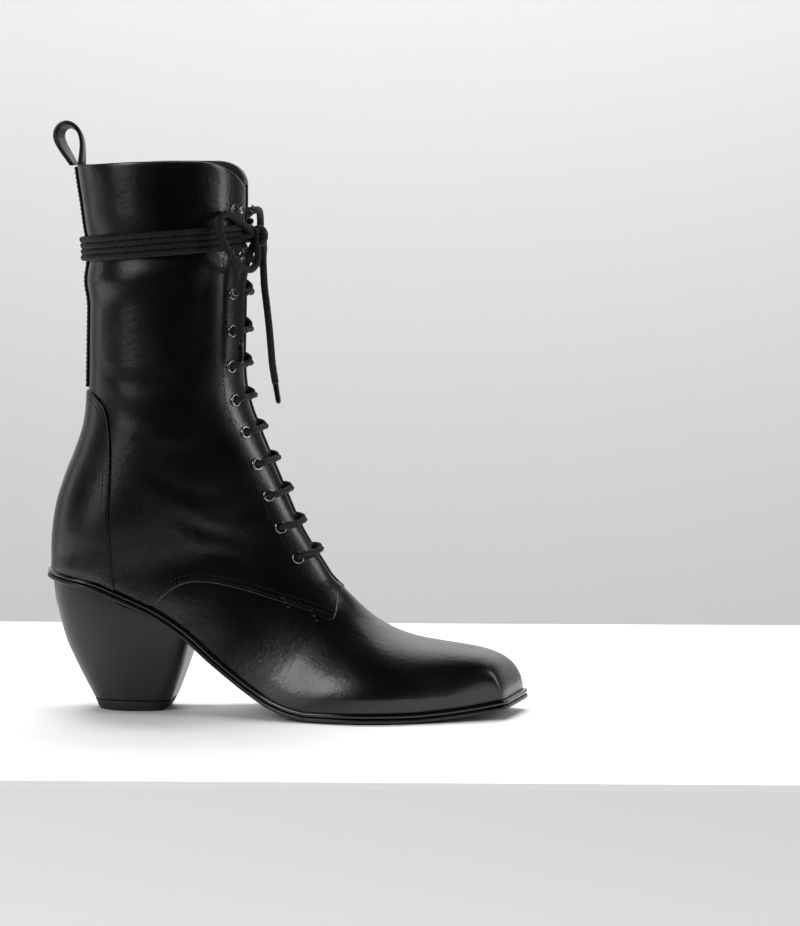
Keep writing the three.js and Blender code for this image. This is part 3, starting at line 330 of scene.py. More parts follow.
def insidePolygon(x, z, polygon):
    inside = np.zeros(np.broadcast(x, z).shape, bool)
    for (x0, z0), (x1, z1) in zip(polygon, np.roll(polygon, -1, 0)):
        if z0 == z1:
            continue
        inside ^= ((z0 > z) != (z1 > z)) & (x < (x1 - x0) * (z - z0) / (z1 - z0) + x0)
    return inside


# Relief shared by all leather over the last: creases as soft troughs with a ridge beside them.
# Each has its points as seen from the side in millimetres, then depth, half width and ridge.
creases = {
    -1: [
        ([(54, 247), (49, 238), (46, 226), (45, 212), (43, 200)], 0.55, 3.4, 0.35),
        ([(51, 203), (45, 197), (40, 190), (36, 180)], 0.4, 3.0, 0.3),
        ([(-12, 186), (2, 180), (18, 178), (32, 181)], 0.5, 4.2, 0.4),
        ([(-4, 166), (10, 160), (26, 158), (40, 163)], 0.55, 4.4, 0.45),
        ([(8, 150), (22, 144), (38, 142), (52, 146)], 0.55, 4.0, 0.45),
        ([(18, 130), (32, 122), (48, 119), (62, 121)], 0.6, 4.0, 0.5),
        ([(30, 108), (44, 100), (60, 96), (74, 96)], 0.55, 3.8, 0.45),
        ([(46, 90), (60, 84), (76, 80), (90, 80)], 0.4, 3.2, 0.35),
        ([(14, 236), (17, 214), (14, 190)], 0.35, 7.0, 0.3),
        ([(112, 48), (122, 44), (134, 36), (142, 27)], 0.4, 4.5, 0.35),
        ([(128, 55), (138, 47), (148, 36), (153, 27)], 0.35, 4.2, 0.3),
    ],
    1: [
        ([(54, 240), (48, 228), (46, 212), (44, 198)], 0.5, 3.4, 0.35),
        ([(-12, 176), (4, 170), (16, 168)], 0.45, 4.0, 0.35),
        ([(-6, 154), (8, 148), (20, 146)], 0.5, 4.0, 0.4),
        ([(52, 150), (60, 144), (66, 142)], 0.4, 3.4, 0.35),
        ([(6, 128), (18, 120), (32, 117)], 0.5, 4.0, 0.4),
        ([(58, 118), (70, 112), (80, 110)], 0.45, 3.4, 0.35),
        ([(20, 100), (34, 92), (46, 90)], 0.45, 3.8, 0.4),
        ([(112, 48), (122, 44), (132, 36), (138, 27)], 0.4, 4.5, 0.35),
    ],
}


wrapHold = {"x": 64.0, "z": 257.2, "slope": 0.095}


def distanceTo(x, z, line):
    best = np.full(np.broadcast(x, z).shape, 1e9)
    share = np.zeros(best.shape)
    run = runOf(line)
    for k in range(len(line) - 1):
        a, b = line[k], line[k + 1]
        d = b - a
        t = np.clip(((x - a[0]) * d[0] + (z - a[1]) * d[1]) / (d @ d), 0, 1)
        away = np.hypot(x - a[0] - t * d[0], z - a[1] - t * d[1])
        closer = away < best
        best = np.where(closer, away, best)
        share = np.where(closer, mix(run[k], run[k + 1], t) / run[-1], share)
    return best, share


creaseLines = {side: [(spline(p, 14), *rest) for p, *rest in rows] for side, rows in creases.items()}


def wrapLevel(x):
    return wrapHold["z"] + wrapHold["slope"] * (x - wrapHold["x"])


def relief(points):
    x, y, z = points[..., 0], points[..., 1], points[..., 2]
    lift = np.zeros(x.shape)
    for side, rows in creaseLines.items():
        mine = smooth(2, 12, side * y)
        for line, depth, width, ridge in rows:
            near, share = distanceTo(x, z, line)
            fade = np.sin(pi * np.clip(share, 0.0, 1.0)) ** 0.6 * mine
            shape = -np.exp(-(near / width) ** 2) + ridge * np.exp(-((near - 1.9 * width) / (0.9 * width)) ** 2)
            lift += 0.5 * depth * fade * shape
    # the turns of lace draw the leg in, and the leather swells below and above them
    away = z - wrapLevel(x)
    lift += smooth(-70, -45, away) * (1.6 * np.exp(-((away + 17) / 8) ** 2) * smooth(56, 30, x) + 0.12 * np.exp(-((away - 15) / 7) ** 2) - 0.45 * np.exp(-(away / 9) ** 2))
    # slow waves of hand-lasted leather
    lift += 0.12 * np.sin(x / 13 + 0.4) * np.sin(z / 19 + y / 23) + 0.08 * np.sin(z / 8.3 + x / 11) * np.sin(y / 9 + 1)
    return lift


def leatherPoint(s, turn, offset):
    base = lastPoint(s, turn)
    return base + lastNormal(s, turn) * (offset + relief(base))[..., None]


# Meshes

def toMesh(name, points, faces, materials, faceKinds=None, uv=None):
    mesh = bpy.data.meshes.new(name)
    mesh.from_pydata((np.asarray(points) * metre).tolist(), [], faces if isinstance(faces, list) else faces.tolist())
    if uv is not None:
        layer = mesh.uv_layers.new(name="surface")
        loops = np.empty(len(mesh.loops), int)
        mesh.loops.foreach_get("vertex_index", loops)
        layer.data.foreach_set("uv", (np.asarray(uv)[loops]).ravel())
    for material in materials:
        mesh.materials.append(material)
    if faceKinds is not None:
        mesh.polygons.foreach_set("material_index", np.asarray(faceKinds, int))
    mesh.polygons.foreach_set("use_smooth", np.ones(len(mesh.polygons), bool))
    mesh.update()
    mesh.validate()
    piece = bpy.data.objects.new(name, mesh)
    scene.collection.objects.link(piece)
    return piece


def signedVolume(points, faces):
    a, b, c = points[faces[:, 0]], points[faces[:, 1]], points[faces[:, 2]]
    total = np.einsum("ij,ij->i", a, np.cross(b, c)).sum()
    if faces.shape[1] == 4:
        total += np.einsum("ij,ij->i", a, np.cross(c, points[faces[:, 3]])).sum()
    return total


# A panel of leather: an outer and an inner grid of points, joined round all four sides by a rounded edge
def panelMesh(name, outer, inner, materials, bulge=0.5, steps=4, rimKind=0):
    rows, cols = outer.shape[:2]
    count = rows * cols
    index = np.arange(count).reshape(rows, cols)
    border = np.concatenate([index[0, :-1], index[:-1, -1], index[-1, :0:-1], index[:0:-1, 0]])
    quads = np.stack([index[:-1, :-1], index[1:, :-1], index[1:, 1:], index[:-1, 1:]], -1).reshape(-1, 4)
    flatOuter, flatInner = outer.reshape(-1, 3), inner.reshape(-1, 3)
    inward = np.empty((len(border), 3))
    for k, i in enumerate(border):
        r, c = divmod(i, cols)
        r2 = 1 if r == 0 else (rows - 2 if r == rows - 1 else r)
        c2 = 1 if c == 0 else (cols - 2 if c == cols - 1 else c)
        inward[k] = outer[r2, c2] - outer[r, c]
    away = -unit(inward)
    top, bottom = flatOuter[border], flatInner[border]
    middle, half = (top + bottom) / 2, (top - bottom) / 2
    rims = [middle + half * math.cos(a) + away * bulge * math.sin(a) for a in np.linspace(0, pi, steps + 2)[1:-1]]
    points = np.concatenate([flatOuter, flatInner, *rims])
    faces = [quads, quads[:, ::-1] + count]
    kinds = [np.zeros(len(quads), int), np.full(len(quads), min(1, len(materials) - 1))]
    loops = [border] + [2 * count + k * len(border) + np.arange(len(border)) for k in range(steps)] + [border + count]
    for a, b in zip(loops, loops[1:]):
        faces.append(np.stack([a, np.roll(a, -1), np.roll(b, -1), b], -1))
        kinds.append(np.full(len(a), rimKind))
    faces, kinds = np.concatenate(faces), np.concatenate(kinds)
    if signedVolume(points, faces) < 0:
        faces = faces[:, ::-1]
    return toMesh(name, points, faces, materials, kinds)


# A body through closed loops of points, with flat or rounded ends
def loftMesh(name, loops, materials, closed=False, uv=None, weld=False):
    loops = np.array(loops, float)
    rows, cols = loops.shape[:2]
    index = np.arange(rows * cols).reshape(rows, cols)
    after = np.roll(index, -1, 1)
    below, belowAfter = np.roll(index, -1, 0), np.roll(after, -1, 0)
    last = rows if closed else rows - 1
    faces = np.stack([index[:last], after[:last], belowAfter[:last], below[:last]], -1).reshape(-1, 4)
    points = loops.reshape(-1, 3)
    allFaces = faces.tolist()
    if not closed:
        allFaces += [index[0, ::-1].tolist(), index[-1].tolist()]
    flip = signedVolume(points - points.mean(0), faces) < 0
    if flip:
        allFaces = [f[::-1] for f in allFaces]
    piece = toMesh(name, points, allFaces, materials, None, uv)
    if weld:
        import bmesh
        shape = bmesh.new()
        shape.from_mesh(piece.data)
        bmesh.ops.remove_doubles(shape, verts=shape.verts, dist=1e-6)
        shape.to_mesh(piece.data)
        shape.free()
    return piece


# A tube along a path, with a section that turns as little as it can
def pathFrames(path):
    tangents = unit(np.gradient(path, axis=0))
    normal = np.cross(tangents[0], [0.2, 0.3, 1.0])
    normals = [normal / np.linalg.norm(normal)]
    for t in tangents[1:]:
        n = normals[-1] - t * (normals[-1] @ t)
        normals.append(n / np.linalg.norm(n))
    normals = np.array(normals)
    return tangents, normals, np.cross(tangents, normals)


laceBraid = {"around": 20, "step": 0.5, "carriers": 6, "pitch": 4.2, "relief": 0.14}


# Braided cord: crossing ridges of yarn, left-hand and right-hand in turn
def braidedTube(path, radius, flat=1.0, domed=True, twist=0.0):
    path = evenly(path, max(8, int(runOf(path)[-1] / laceBraid["step"])))
    tangents, normals, sides = pathFrames(path)
    run = runOf(path)
    angles = np.linspace(0, 2 * pi, laceBraid["around"], endpoint=False)
    a = angles[None, :] + twist * run[:, None]
    v = run[:, None] / laceBraid["pitch"] * 2 * pi
    left = np.cos(laceBraid["carriers"] * angles[None, :] + v)
    right = np.cos(laceBraid["carriers"] * angles[None, :] - v)
    size = radius + laceBraid["relief"] * (np.maximum(left, right) - 0.6)
    if domed:
        ends = np.minimum(run, run[-1] - run)[:, None]
        size = size * np.sqrt(np.clip(1 - (1 - np.clip(ends / radius, 0, 1)) ** 2, 0.02, 1))
    ring = normals[:, None] * (np.cos(a) * size)[..., None] + sides[:, None] * (np.sin(a) * size * flat)[..., None]
    uv = np.stack([np.broadcast_to(angles / (2 * pi), a.shape), np.broadcast_to(run[:, None], a.shape)], -1)
    return path[:, None] + ring, uv.reshape(-1, 2), path


def joined(name, parts, material):
    points, faces, uvs, start = [], [], [], 0
    for loops, uv, _ in parts:
        rows, cols = loops.shape[:2]
        index = np.arange(rows * cols).reshape(rows, cols)
        after = np.roll(index, -1, 1)
        quads = np.stack([index[:-1], after[:-1], after[1:], index[1:]], -1).reshape(-1, 4)
        flat = loops.reshape(-1, 3)
        caps = [index[0, ::-1].tolist(), index[-1].tolist()]
        if signedVolume(flat - flat.mean(0), quads) < 0:
            quads = quads[:, ::-1]
            caps = [c[::-1] for c in caps]
        faces += (quads + start).tolist() + [[i + start for i in c] for c in caps]
        points.append(flat)
        uvs.append(uv)
        start += len(flat)
    return toMesh(name, np.concatenate(points), faces, [material], None, np.concatenate(uvs))


print("shapes ready")

# Materials

def linear(hexColour):
    values = [int(hexColour[i:i + 2], 16) / 255 for i in (1, 3, 5)]
    return tuple(v / 12.92 if v <= 0.04045 else ((v + 0.055) / 1.055) ** 2.4 for v in values) + (1.0,)


def addNode(tree, kind, inputs=None, **settings):
    node = tree.nodes.new(kind)
    for key, value in settings.items():
        setattr(node, key, value)
    for key, value in (inputs or {}).items():
        if isinstance(value, bpy.types.NodeSocket):
            tree.links.new(value, node.inputs[key])
        else:
            node.inputs[key].default_value = value
    return node


def newMaterial(name, shader, build):
    material = bpy.data.materials.new(name)
    material.use_nodes = True
    tree = material.node_tree
    tree.nodes.clear()
    principled = addNode(tree, "ShaderNodeBsdfPrincipled", shader)
    addNode(tree, "ShaderNodeOutputMaterial", {"Surface": principled.outputs["BSDF"]})
    build(tree, principled)
    return material


def ramp(tree, factor, stops, interpolation="LINEAR"):
    node = addNode(tree, "ShaderNodeValToRGB", {"Fac": factor})
    node.color_ramp.interpolation = interpolation
    elements = node.color_ramp.elements
    while len(elements) < len(stops):
        elements.new(0.5)
    for element, (position, value) in zip(elements, stops):
        element.position = position
        element.color = value if len(value) == 4 else (*value, 1)
    return node.outputs["Color"]


def grey(value):
    return (value, value, value, 1)


# Leather: chrome-tanned calf, dyed through and finished. The pores give a fine broken sparkle in the
# highlights, the finish a clear top reflection, and the rubbed places are a little duller.
def leather(name, look):
    def build(tree, principled):
        place = addNode(tree, "ShaderNodeTexCoord").outputs["Object"]
        pores = addNode(tree, "ShaderNodeTexVoronoi", {"Vector": place, "Scale": 1000 / look["grain"], "Randomness": 1.0},
                        feature="DISTANCE_TO_EDGE").outputs["Distance"]
        cells = addNode(tree, "ShaderNodeMath", {0: pores, 1: 0.35}, operation="MINIMUM").outputs[0]
        folds = addNode(tree, "ShaderNodeTexNoise", {"Vector": place, "Scale": 1000 / look["fold"], "Detail": 3.0,
                                                     "Roughness": 0.6}).outputs["Fac"]
        clouds = addNode(tree, "ShaderNodeTexNoise", {"Vector": place, "Scale": 1000 / look["cloud"], "Detail": 2.0}).outputs["Fac"]
        low = addNode(tree, "ShaderNodeBump", {"Strength": look["foldDepth"], "Distance": 0.0006, "Height": folds})
        fine = addNode(tree, "ShaderNodeBump", {"Strength": look["grainDepth"], "Distance": 0.00012, "Height": cells,
                                                "Normal": low.outputs["Normal"]})
        tree.links.new(fine.outputs["Normal"], principled.inputs["Normal"])
        colour = addNode(tree, "ShaderNodeMix", {0: clouds, 6: linear(look["dark"]), 7: linear(look["light"])}, data_type="RGBA")
        tree.links.new(colour.outputs[2], principled.inputs["Base Color"])
        rough = addNode(tree, "ShaderNodeMapRange", {0: clouds, 1: 0.3, 2: 0.7, 3: look["rough"][0], 4: look["rough"][1]})
        tree.links.new(rough.outputs[0], principled.inputs["Roughness"])
        tree.links.new(low.outputs["Normal"], principled.inputs["Coat Normal"])

    return newMaterial(name, {"IOR": 1.5, "Coat Weight": look["coat"], "Coat Roughness": look["coatRough"],
                              "Coat IOR": 1.5}, build)


# pore, fold and cloud sizes in millimetres; pores are drawn about twice their real size, or they would not show
upperLeather = leather("polished black calf", {"grain": 0.85, "fold": 3.4, "cloud": 26, "grainDepth": 0.7, "foldDepth": 0.26,
    "dark": "#030304", "light": "#070708", "rough": (0.25, 0.36), "coat": 0.25, "coatRough": 0.14})
tongueLeather = leather("soft black calf", {"grain": 1.1, "fold": 5, "cloud": 20, "grainDepth": 0.5, "foldDepth": 0.2,
    "dark": "#0a0a0b", "light": "#121213", "rough": (0.34, 0.46), "coat": 0.1, "coatRough": 0.25})
liningLeather = leather("black pigskin lining", {"grain": 1.4, "fold": 8, "cloud": 24, "grainDepth": 0.4, "foldDepth": 0.15,
    "dark": "#151414", "light": "#1e1d1c", "rough": (0.5, 0.62), "coat": 0.0, "coatRough": 0.3})
strapLeather = leather("grained black calf strap", {"grain": 1.2, "fold": 4, "cloud": 14, "grainDepth": 0.7, "foldDepth": 0.15,
    "dark": "#060607", "light": "#0b0b0c", "rough": (0.36, 0.46), "coat": 0.2, "coatRough": 0.2})
beadLeather = leather("waxed black welt leather", {"grain": 0.8, "fold": 5, "cloud": 20, "grainDepth": 0.1, "foldDepth": 0.08,
    "dark": "#070708", "light": "#0c0c0d", "rough": (0.2, 0.28), "coat": 0.5, "coatRough": 0.1})
heelLeather = leather("burnished black heel cover", {"grain": 0.8, "fold": 14, "cloud": 30, "grainDepth": 0.12, "foldDepth": 0.06,
    "dark": "#030304", "light": "#050506", "rough": (0.34, 0.4), "coat": 0.08, "coatRough": 0.25})
soleLeather = leather("black-dyed sole leather", {"grain": 0.7, "fold": 9, "cloud": 26, "grainDepth": 0.2, "foldDepth": 0.1,
    "dark": "#0d0d0e", "light": "#171718", "rough": (0.3, 0.42), "coat": 0.15, "coatRough": 0.2})


# Rubber: nitrile sheet, moulded with a fine tooth; it scatters light and shows no reflection
def rubberBuild(tree, principled):
    place = addNode(tree, "ShaderNodeTexCoord").outputs["Object"]
    speck = addNode(tree, "ShaderNodeTexNoise", {"Vector": place, "Scale": 2500.0, "Detail": 3.0}).outputs["Fac"]
    wear = addNode(tree, "ShaderNodeTexNoise", {"Vector": place, "Scale": 60.0, "Detail": 4.0}).outputs["Fac"]
    colour = addNode(tree, "ShaderNodeMix", {0: wear, 6: linear("#111112"), 7: linear("#1d1d1e")}, data_type="RGBA")
    tree.links.new(colour.outputs[2], principled.inputs["Base Color"])
    rough = addNode(tree, "ShaderNodeMapRange", {0: wear, 1: 0.3, 2: 0.7, 3: 0.55, 4: 0.72})
    tree.links.new(rough.outputs[0], principled.inputs["Roughness"])
    bump = addNode(tree, "ShaderNodeBump", {"Strength": 0.5, "Distance": 0.0001, "Height": speck})
    tree.links.new(bump.outputs["Normal"], principled.inputs["Normal"])


toothedRubber = newMaterial("moulded nitrile rubber", {"IOR": 1.52}, rubberBuild)


# Gunmetal: brass pressings with a dark nickel plating, barrel-polished; the edges show a lighter line
def gunmetalBuild(tree, principled):
    place = addNode(tree, "ShaderNodeTexCoord").outputs["Object"]
    marks = addNode(tree, "ShaderNodeTexNoise", {"Vector": place, "Scale": 900.0, "Detail": 4.0}).outputs["Fac"]
    rough = addNode(tree, "ShaderNodeMapRange", {0: marks, 1: 0.3, 2: 0.7, 3: 0.16, 4: 0.3})
    tree.links.new(rough.outputs[0], principled.inputs["Roughness"])
    colour = addNode(tree, "ShaderNodeMix", {0: marks, 6: linear("#7c7c80"), 7: linear("#a6a6aa")}, data_type="RGBA")
    tree.links.new(colour.outputs[2], principled.inputs["Base Color"])


gunmetal = newMaterial("dark nickel plated brass", {"Metallic": 1.0}, gunmetalBuild)


# Cord: braided waxed cotton. Yarns cross left and right, each with its own fine twist, and fuzz softens the light
def cordBuild(tree, principled):
    uv = addNode(tree, "ShaderNodeUVMap", uv_map="surface").outputs["UV"]
    parts = addNode(tree, "ShaderNodeSeparateXYZ", {0: uv})
    around = addNode(tree, "ShaderNodeMath", {0: parts.outputs[0], 1: 2 * pi * laceBraid["carriers"]}, operation="MULTIPLY").outputs[0]
    along = addNode(tree, "ShaderNodeMath", {0: parts.outputs[1], 1: 2 * pi / laceBraid["pitch"]}, operation="MULTIPLY").outputs[0]
    waves = []
    for kind in ("ADD", "SUBTRACT"):
        angle = addNode(tree, "ShaderNodeMath", {0: around, 1: along}, operation=kind).outputs[0]
        waves.append(addNode(tree, "ShaderNodeMath", {0: angle}, operation="COSINE").outputs[0])
    top = addNode(tree, "ShaderNodeMath", {0: waves[0], 1: waves[1]}, operation="MAXIMUM").outputs[0]
    height = addNode(tree, "ShaderNodeMapRange", {0: top, 1: -0.2, 2: 1.0, 3: 0.0, 4: 1.0}).outputs[0]
    place = addNode(tree, "ShaderNodeTexCoord").outputs["Object"]
    fibre = addNode(tree, "ShaderNodeTexNoise", {"Vector": place, "Scale": 4000.0, "Detail": 2.0}).outputs["Fac"]
    # painted shade and highlight: the colour goes darker down in the grooves between the yarns and lighter on their
    # crests, following the braid height
    colour = addNode(tree, "ShaderNodeMix", {0: height, 6: linear("#020202"), 7: linear("#161617")}, data_type="RGBA")
    tree.links.new(colour.outputs[2], principled.inputs["Base Color"])
    low = addNode(tree, "ShaderNodeBump", {"Strength": 0.6, "Distance": 0.0003, "Height": height})
    fine = addNode(tree, "ShaderNodeBump", {"Strength": 0.5, "Distance": 0.0001, "Height": fibre, "Normal": low.outputs["Normal"]})
    tree.links.new(fine.outputs["Normal"], principled.inputs["Normal"])


waxedCotton = newMaterial("braided waxed cotton", {"Roughness": 0.66, "IOR": 1.45, "Sheen Weight": 0.03,
                                                   "Sheen Roughness": 0.5}, cordBuild)


# Thread: bonded polyester, a little shinier than the leather round it
def threadBuild(tree, principled):
    place = addNode(tree, "ShaderNodeTexCoord").outputs["Object"]
    twist = addNode(tree, "ShaderNodeTexNoise", {"Vector": place, "Scale": 3500.0}).outputs["Fac"]
    bump = addNode(tree, "ShaderNodeBump", {"Strength": 0.4, "Distance": 0.00008, "Height": twist})
    tree.links.new(bump.outputs["Normal"], principled.inputs["Normal"])


thread = newMaterial("bonded polyester thread", {"Base Color": linear("#101012"), "Roughness": 0.42, "IOR": 1.5}, threadBuild)


# Film: heat-shrunk acetate on the lace ends, glossy with faint dents
def filmBuild(tree, principled):
    place = addNode(tree, "ShaderNodeTexCoord").outputs["Object"]
    dents = addNode(tree, "ShaderNodeTexNoise", {"Vector": place, "Scale": 500.0}).outputs["Fac"]
    bump = addNode(tree, "ShaderNodeBump", {"Strength": 0.3, "Distance": 0.0002, "Height": dents})
    tree.links.new(bump.outputs["Normal"], principled.inputs["Normal"])


agletFilm = newMaterial("black acetate film", {"Base Color": linear("#0a0a0b"), "Roughness": 0.22, "IOR": 1.48}, filmBuild)
print("materials ready")


def finishPiece(piece, body, slot, *replaced):
    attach(piece, body)
    if replaced:
        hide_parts(*replaced)
    return piece


# Lace route, from the same points as the solids
ridgeSteps = np.linspace(throatSection, 0, 401)
ridgeRun = runOf(lastPoint(ridgeSteps, 0.0))


def sectionUpRidge(run):
    return ridgeSteps[np.maximum(1, np.searchsorted(ridgeRun, run, side="right"))]


eyeletRuns = [firstEyelet + i * eyeletPitch for i in range(eyeletCount)]
hookRuns = [eyeletRuns[-1] + hookRise + i * hookPitch for i in range(hookCount - 1)]
hookRuns.append(hookRuns[-1] + hookStep)
eyeletLine = throatHalfGap + eyeletInset


# A place on the facing: up the ridge by run, across by a distance from the ridge
def facing(run, side, across, offset):
    s = sectionUpRidge(run)
    turn = signedTurn(turnOf(s, across, side), side)
    return leatherPoint(s, turn, np.asarray(offset, float)), lastNormal(s, turn)


wrapLook = {"rows": 4, "pitch": 3.28, "over": 10.9, "slope": 0.095, "radius": 1.72}
wrapFront = lastPoint(sectionUpRidge(hookRuns[-2] + wrapLook["over"]), 0.0)
bow = {
    "nearLoop": [(5.4, -8.6, -0.4), (1.8, -14, 4.2), (-2.4, -20.6, 8.8), (-5.8, -26.4, 11), (-7.9, -30.8, 8.9),
                 (-8, -33.4, 3.4), (-6, -33.2, -3.6), (-2.2, -30.6, -11.6), (2.5, -26.5, -17.2), (6.3, -21.8, -18.6),
                 (8.6, -17.3, -15.2), (8.6, -13.8, -9.8), (7.4, -10.6, -4.6)],
    "farLoop": [(7.4, 0.3, 1.2), (6.2, 8, 7.4), (2.6, 20.6, 12.2), (-4, 29.4, 9.8), (-9.4, 32.6, 2.4), (-9.4, 33.6, -4.7),
                (-6, 32, -10.2), (-1.5, 26.6, -14.7), (3.5, 18.6, -16.7), (7, 9.6, -13.7), (8.6, 4.6, -8.2), (8.8, 0.6, -2.8)],
    "nearEnd": [(5.4, -8.2, -5.2), (4.6, -12.4, -8.8), (3.8, -16.4, -13.4), (2.6, -19.2, -19.2), (1.4, -20.2, -27.2),
                (0.8, -20.4, -37.2), (0.4, -20.4, -48.2), (0.3, -20.3, -57.7)],
    "farEnd": [(9.2, -4.2, -5.6), (9.6, -4, -11.2), (10, -4.3, -19.2), (10.6, -5, -28.2), (11.9, -5.6, -38.2),
               (13.2, -6, -49.2), (14.2, -6.2, -60.2), (15.1, -6.3, -70.2), (16.6, -6.3, -79.7)],
    "knot": (8.6, -4.8, -0.4), "radius": 1.9, "aglet": 11,
}


def bowPoints(name):
    return np.array(bow[name], float) + [wrapFront[0], 0, wrapFront[2]]


# The knot: one turn of lace over the middle, with the strands that it holds
def knotParts():
    centre = np.array(bow["knot"]) + [wrapFront[0] - 1.6, 0, wrapFront[2] - 1.2]
    parts = []
    for k in range(2):  # two close turns round the held strands
        a = np.linspace(0, 2 * pi, 48)
        lean = 0.5 * (k - 0.5)
        parts.append(braidedTube(centre + np.stack([0.4 + 3.2 * np.cos(a), (k - 0.5) * 3.1 + 1.0 * np.sin(a + lean),
                                                    4.3 * np.sin(a) + lean * np.cos(a)], -1), 1.75, domed=False))
    for rise, dip in ((2.6, 0.2), (0.0, 0.5), (-2.6, 0.1)):
        parts.append(braidedTube(spline([centre + q for q in [(-1.2, -5.4, rise + 0.4), (0.6, -2.2, rise), (0.9 + dip, 0.6, rise * 0.9),
                                                              (0.2, 3.4, rise), (-1.4, 5.6, rise * 0.8)]], 30), 1.75))
    for y, x in ((-3.4, 1.2), (3.0, 0.9)):  # strands into the wound rows
        parts.append(braidedTube(spline([centre + q for q in [(0.6, y, 0.6), (-2.6, y * 1.4, 0.4), (-6.0, y * 2.3, 0.2), (-9.5, y * 3.1, 0)]], 26), 1.7))
    return parts


knot = joined("lace_knot_turns", knotParts(), waxedCotton)
finishPiece(knot, "boot", "lace", "lace_knot")
for name, node, end in (("nearLoop", "lace_loop_near", "knot"), ("farLoop", "lace_loop_far", "knot"),
                        ("nearEnd", "lace_end_near", "fitting"), ("farEnd", "lace_end_far", "fitting")):
    line = spline(bowPoints(name), 160)
    loops, uv, path = braidedTube(line, bow["radius"])
    piece = joined(node + "_cord", [(loops, uv, path)], waxedCotton)
    finishPiece(piece, "boot", "lace", node)
    if end == "fitting":
        direction = unit(path[-1] - path[-6])
        run = np.array([-1.2, -0.6, 0, 0.4, 3, 6, 9, 10.2, 10.9, 11.3, 11.5])
        radii = np.array([1.96, 1.98, 1.9, 1.62, 1.5, 1.46, 1.42, 1.34, 1.1, 0.7, 0.12])
        tip = path[-1] + direction * run[:, None]
        _, normals, sides = pathFrames(tip)
        angles = np.linspace(0, 2 * pi, 28, endpoint=False)
        ring = tip[:, None] + (normals[:, None] * np.cos(angles)[:, None] + sides[:, None] * np.sin(angles)[:, None]) * radii[:, None, None]
        agletPiece = loftMesh("aglet_" + node.split("_")[2] + "_film", ring, [agletFilm])
        finishPiece(agletPiece, "boot", "aglet", "aglet_" + node.split("_")[2])
    length = runOf(path)[-1] * metre
    print(node, "length", round(length, 4))
print("bow tied")

# Upper. Quarters: one wall from the outer facing round the back to the inner facing
collarBack, collarMiddle = upLeg(0.994), upLeg(1.003)
facingEdge = 3.6  # half the gap between the facings
collar = {"corner": 22, "drop": 15.5, "front": float(lastPoint(1.2, signedTurn(turnOf(1.2, facingEdge, -1), -1))[0]) + 0.1}


def collarAt(x):
    rise = mix(collarBack, collarMiddle, smooth(forward(0.05), forward(0.24), x))
    over = np.clip((x - (collar["front"] - collar["corner"])) / collar["corner"], 0, 0.999)
    return rise - collar["drop"] * (1 - np.sqrt(1 - over ** 2.2))


seamCurve = sideLine(vampSeam)
quarterEdge = np.concatenate([seamCurve[::3], [(forward(0.68), upLeg(0.2)), (forward(0.68), upLeg(1.3)),
                                               (-95, upLeg(1.3)), (-95, upLeg(-0.1))]])
spacingPoints = lastPoint(tableS[:, None], np.array([0.0, pi / 2, pi, 1.5 * pi]))
lengthAtS = np.concatenate([[0], np.cumsum(np.linalg.norm(np.diff(spacingPoints, axis=0), axis=-1).mean(1))])
tuckedUnder = 0.8  # the panels end behind the bead


def totalArc(s, side):
    return np.interp(s, tableS, arcTable[side][:, -1])


def quarterTurn(side, c, s):
    return signedTurn(turnOf(s, facingEdge + c * (totalArc(s, side) - facingEdge), side), side)


def quarterEnds(side, c):
    def over(s):
        p = lastPoint(s, quarterTurn(side, c, s))
        return p[..., 2] > collarAt(p[..., 0])

    def inside(s):
        p = lastPoint(s, quarterTurn(side, c, s))
        x, z = p[..., 0], p[..., 2]
        return (z > featherAt(x) - tuckedUnder) & insidePolygon(x, z, quarterEdge)

    top = rootOf(over, np.zeros(c.shape), np.full(c.shape, 4.0))
    return top, rootOf(inside, np.full(c.shape, 9.0), np.full(c.shape, 20.0))


quarterLook = {"columns": 110, "rows": 150}


def quarterGrid(side):
    fine = np.linspace(0, 1, 161)
    top, bottom = quarterEnds(side, fine)
    ends = [lastPoint(s, quarterTurn(side, fine, s)) for s in (top, bottom)]
    run = 0.35 * runOf(ends[0]) + 0.65 * runOf(ends[1])
    c = np.interp(np.linspace(0, run[-1], quarterLook["columns"]), run, fine)
    top, bottom = quarterEnds(side, c)
    share = np.linspace(0, 1, quarterLook["rows"])[:, None]
    length = mix(np.interp(top, tableS, lengthAtS), np.interp(bottom, tableS, lengthAtS), share)
    s = np.interp(length, lengthAtS, tableS)
    s[0], s[-1] = top, bottom
    return s, quarterTurn(side, np.broadcast_to(c, s.shape), s)


grids = {side: quarterGrid(side) for side in (-1, 1)}
s = np.concatenate([grids[-1][0], grids[1][0][:, -2::-1]], 1)
turn = np.concatenate([grids[-1][1], grids[1][1][:, -2::-1]], 1)
quarters = panelMesh("quarters", leatherPoint(s, turn, 0.0), leatherPoint(s, turn, -wall), [upperLeather, liningLeather], 0.6)
finishPiece(quarters, "boot", "upper_leather", "upper")
print("quarters", len(quarters.data.polygons))


# Vamp: from under the quarters over the foot to the square toe
def sideTurn(s, side, under=tuckedUnder):
    def above(t):
        p = lastPoint(s, signedTurn(t, side))
        return p[..., 2] > featherAt(p[..., 0]) - under

    return rootOf(above, np.zeros(np.shape(s)), np.full(np.shape(s), pi), 30)


def vampTurn(c, s):
    out = np.empty(np.broadcast(c, s).shape)
    c, s = np.broadcast_arrays(c, s)
    for side in (-1, 1):
        mine = c < 0 if side < 0 else c >= 0
        end = arcOf(s[mine], sideTurn(s[mine], side), side)
        out[mine] = signedTurn(turnOf(s[mine], np.abs(c[mine]) * end, side), side)
    return out


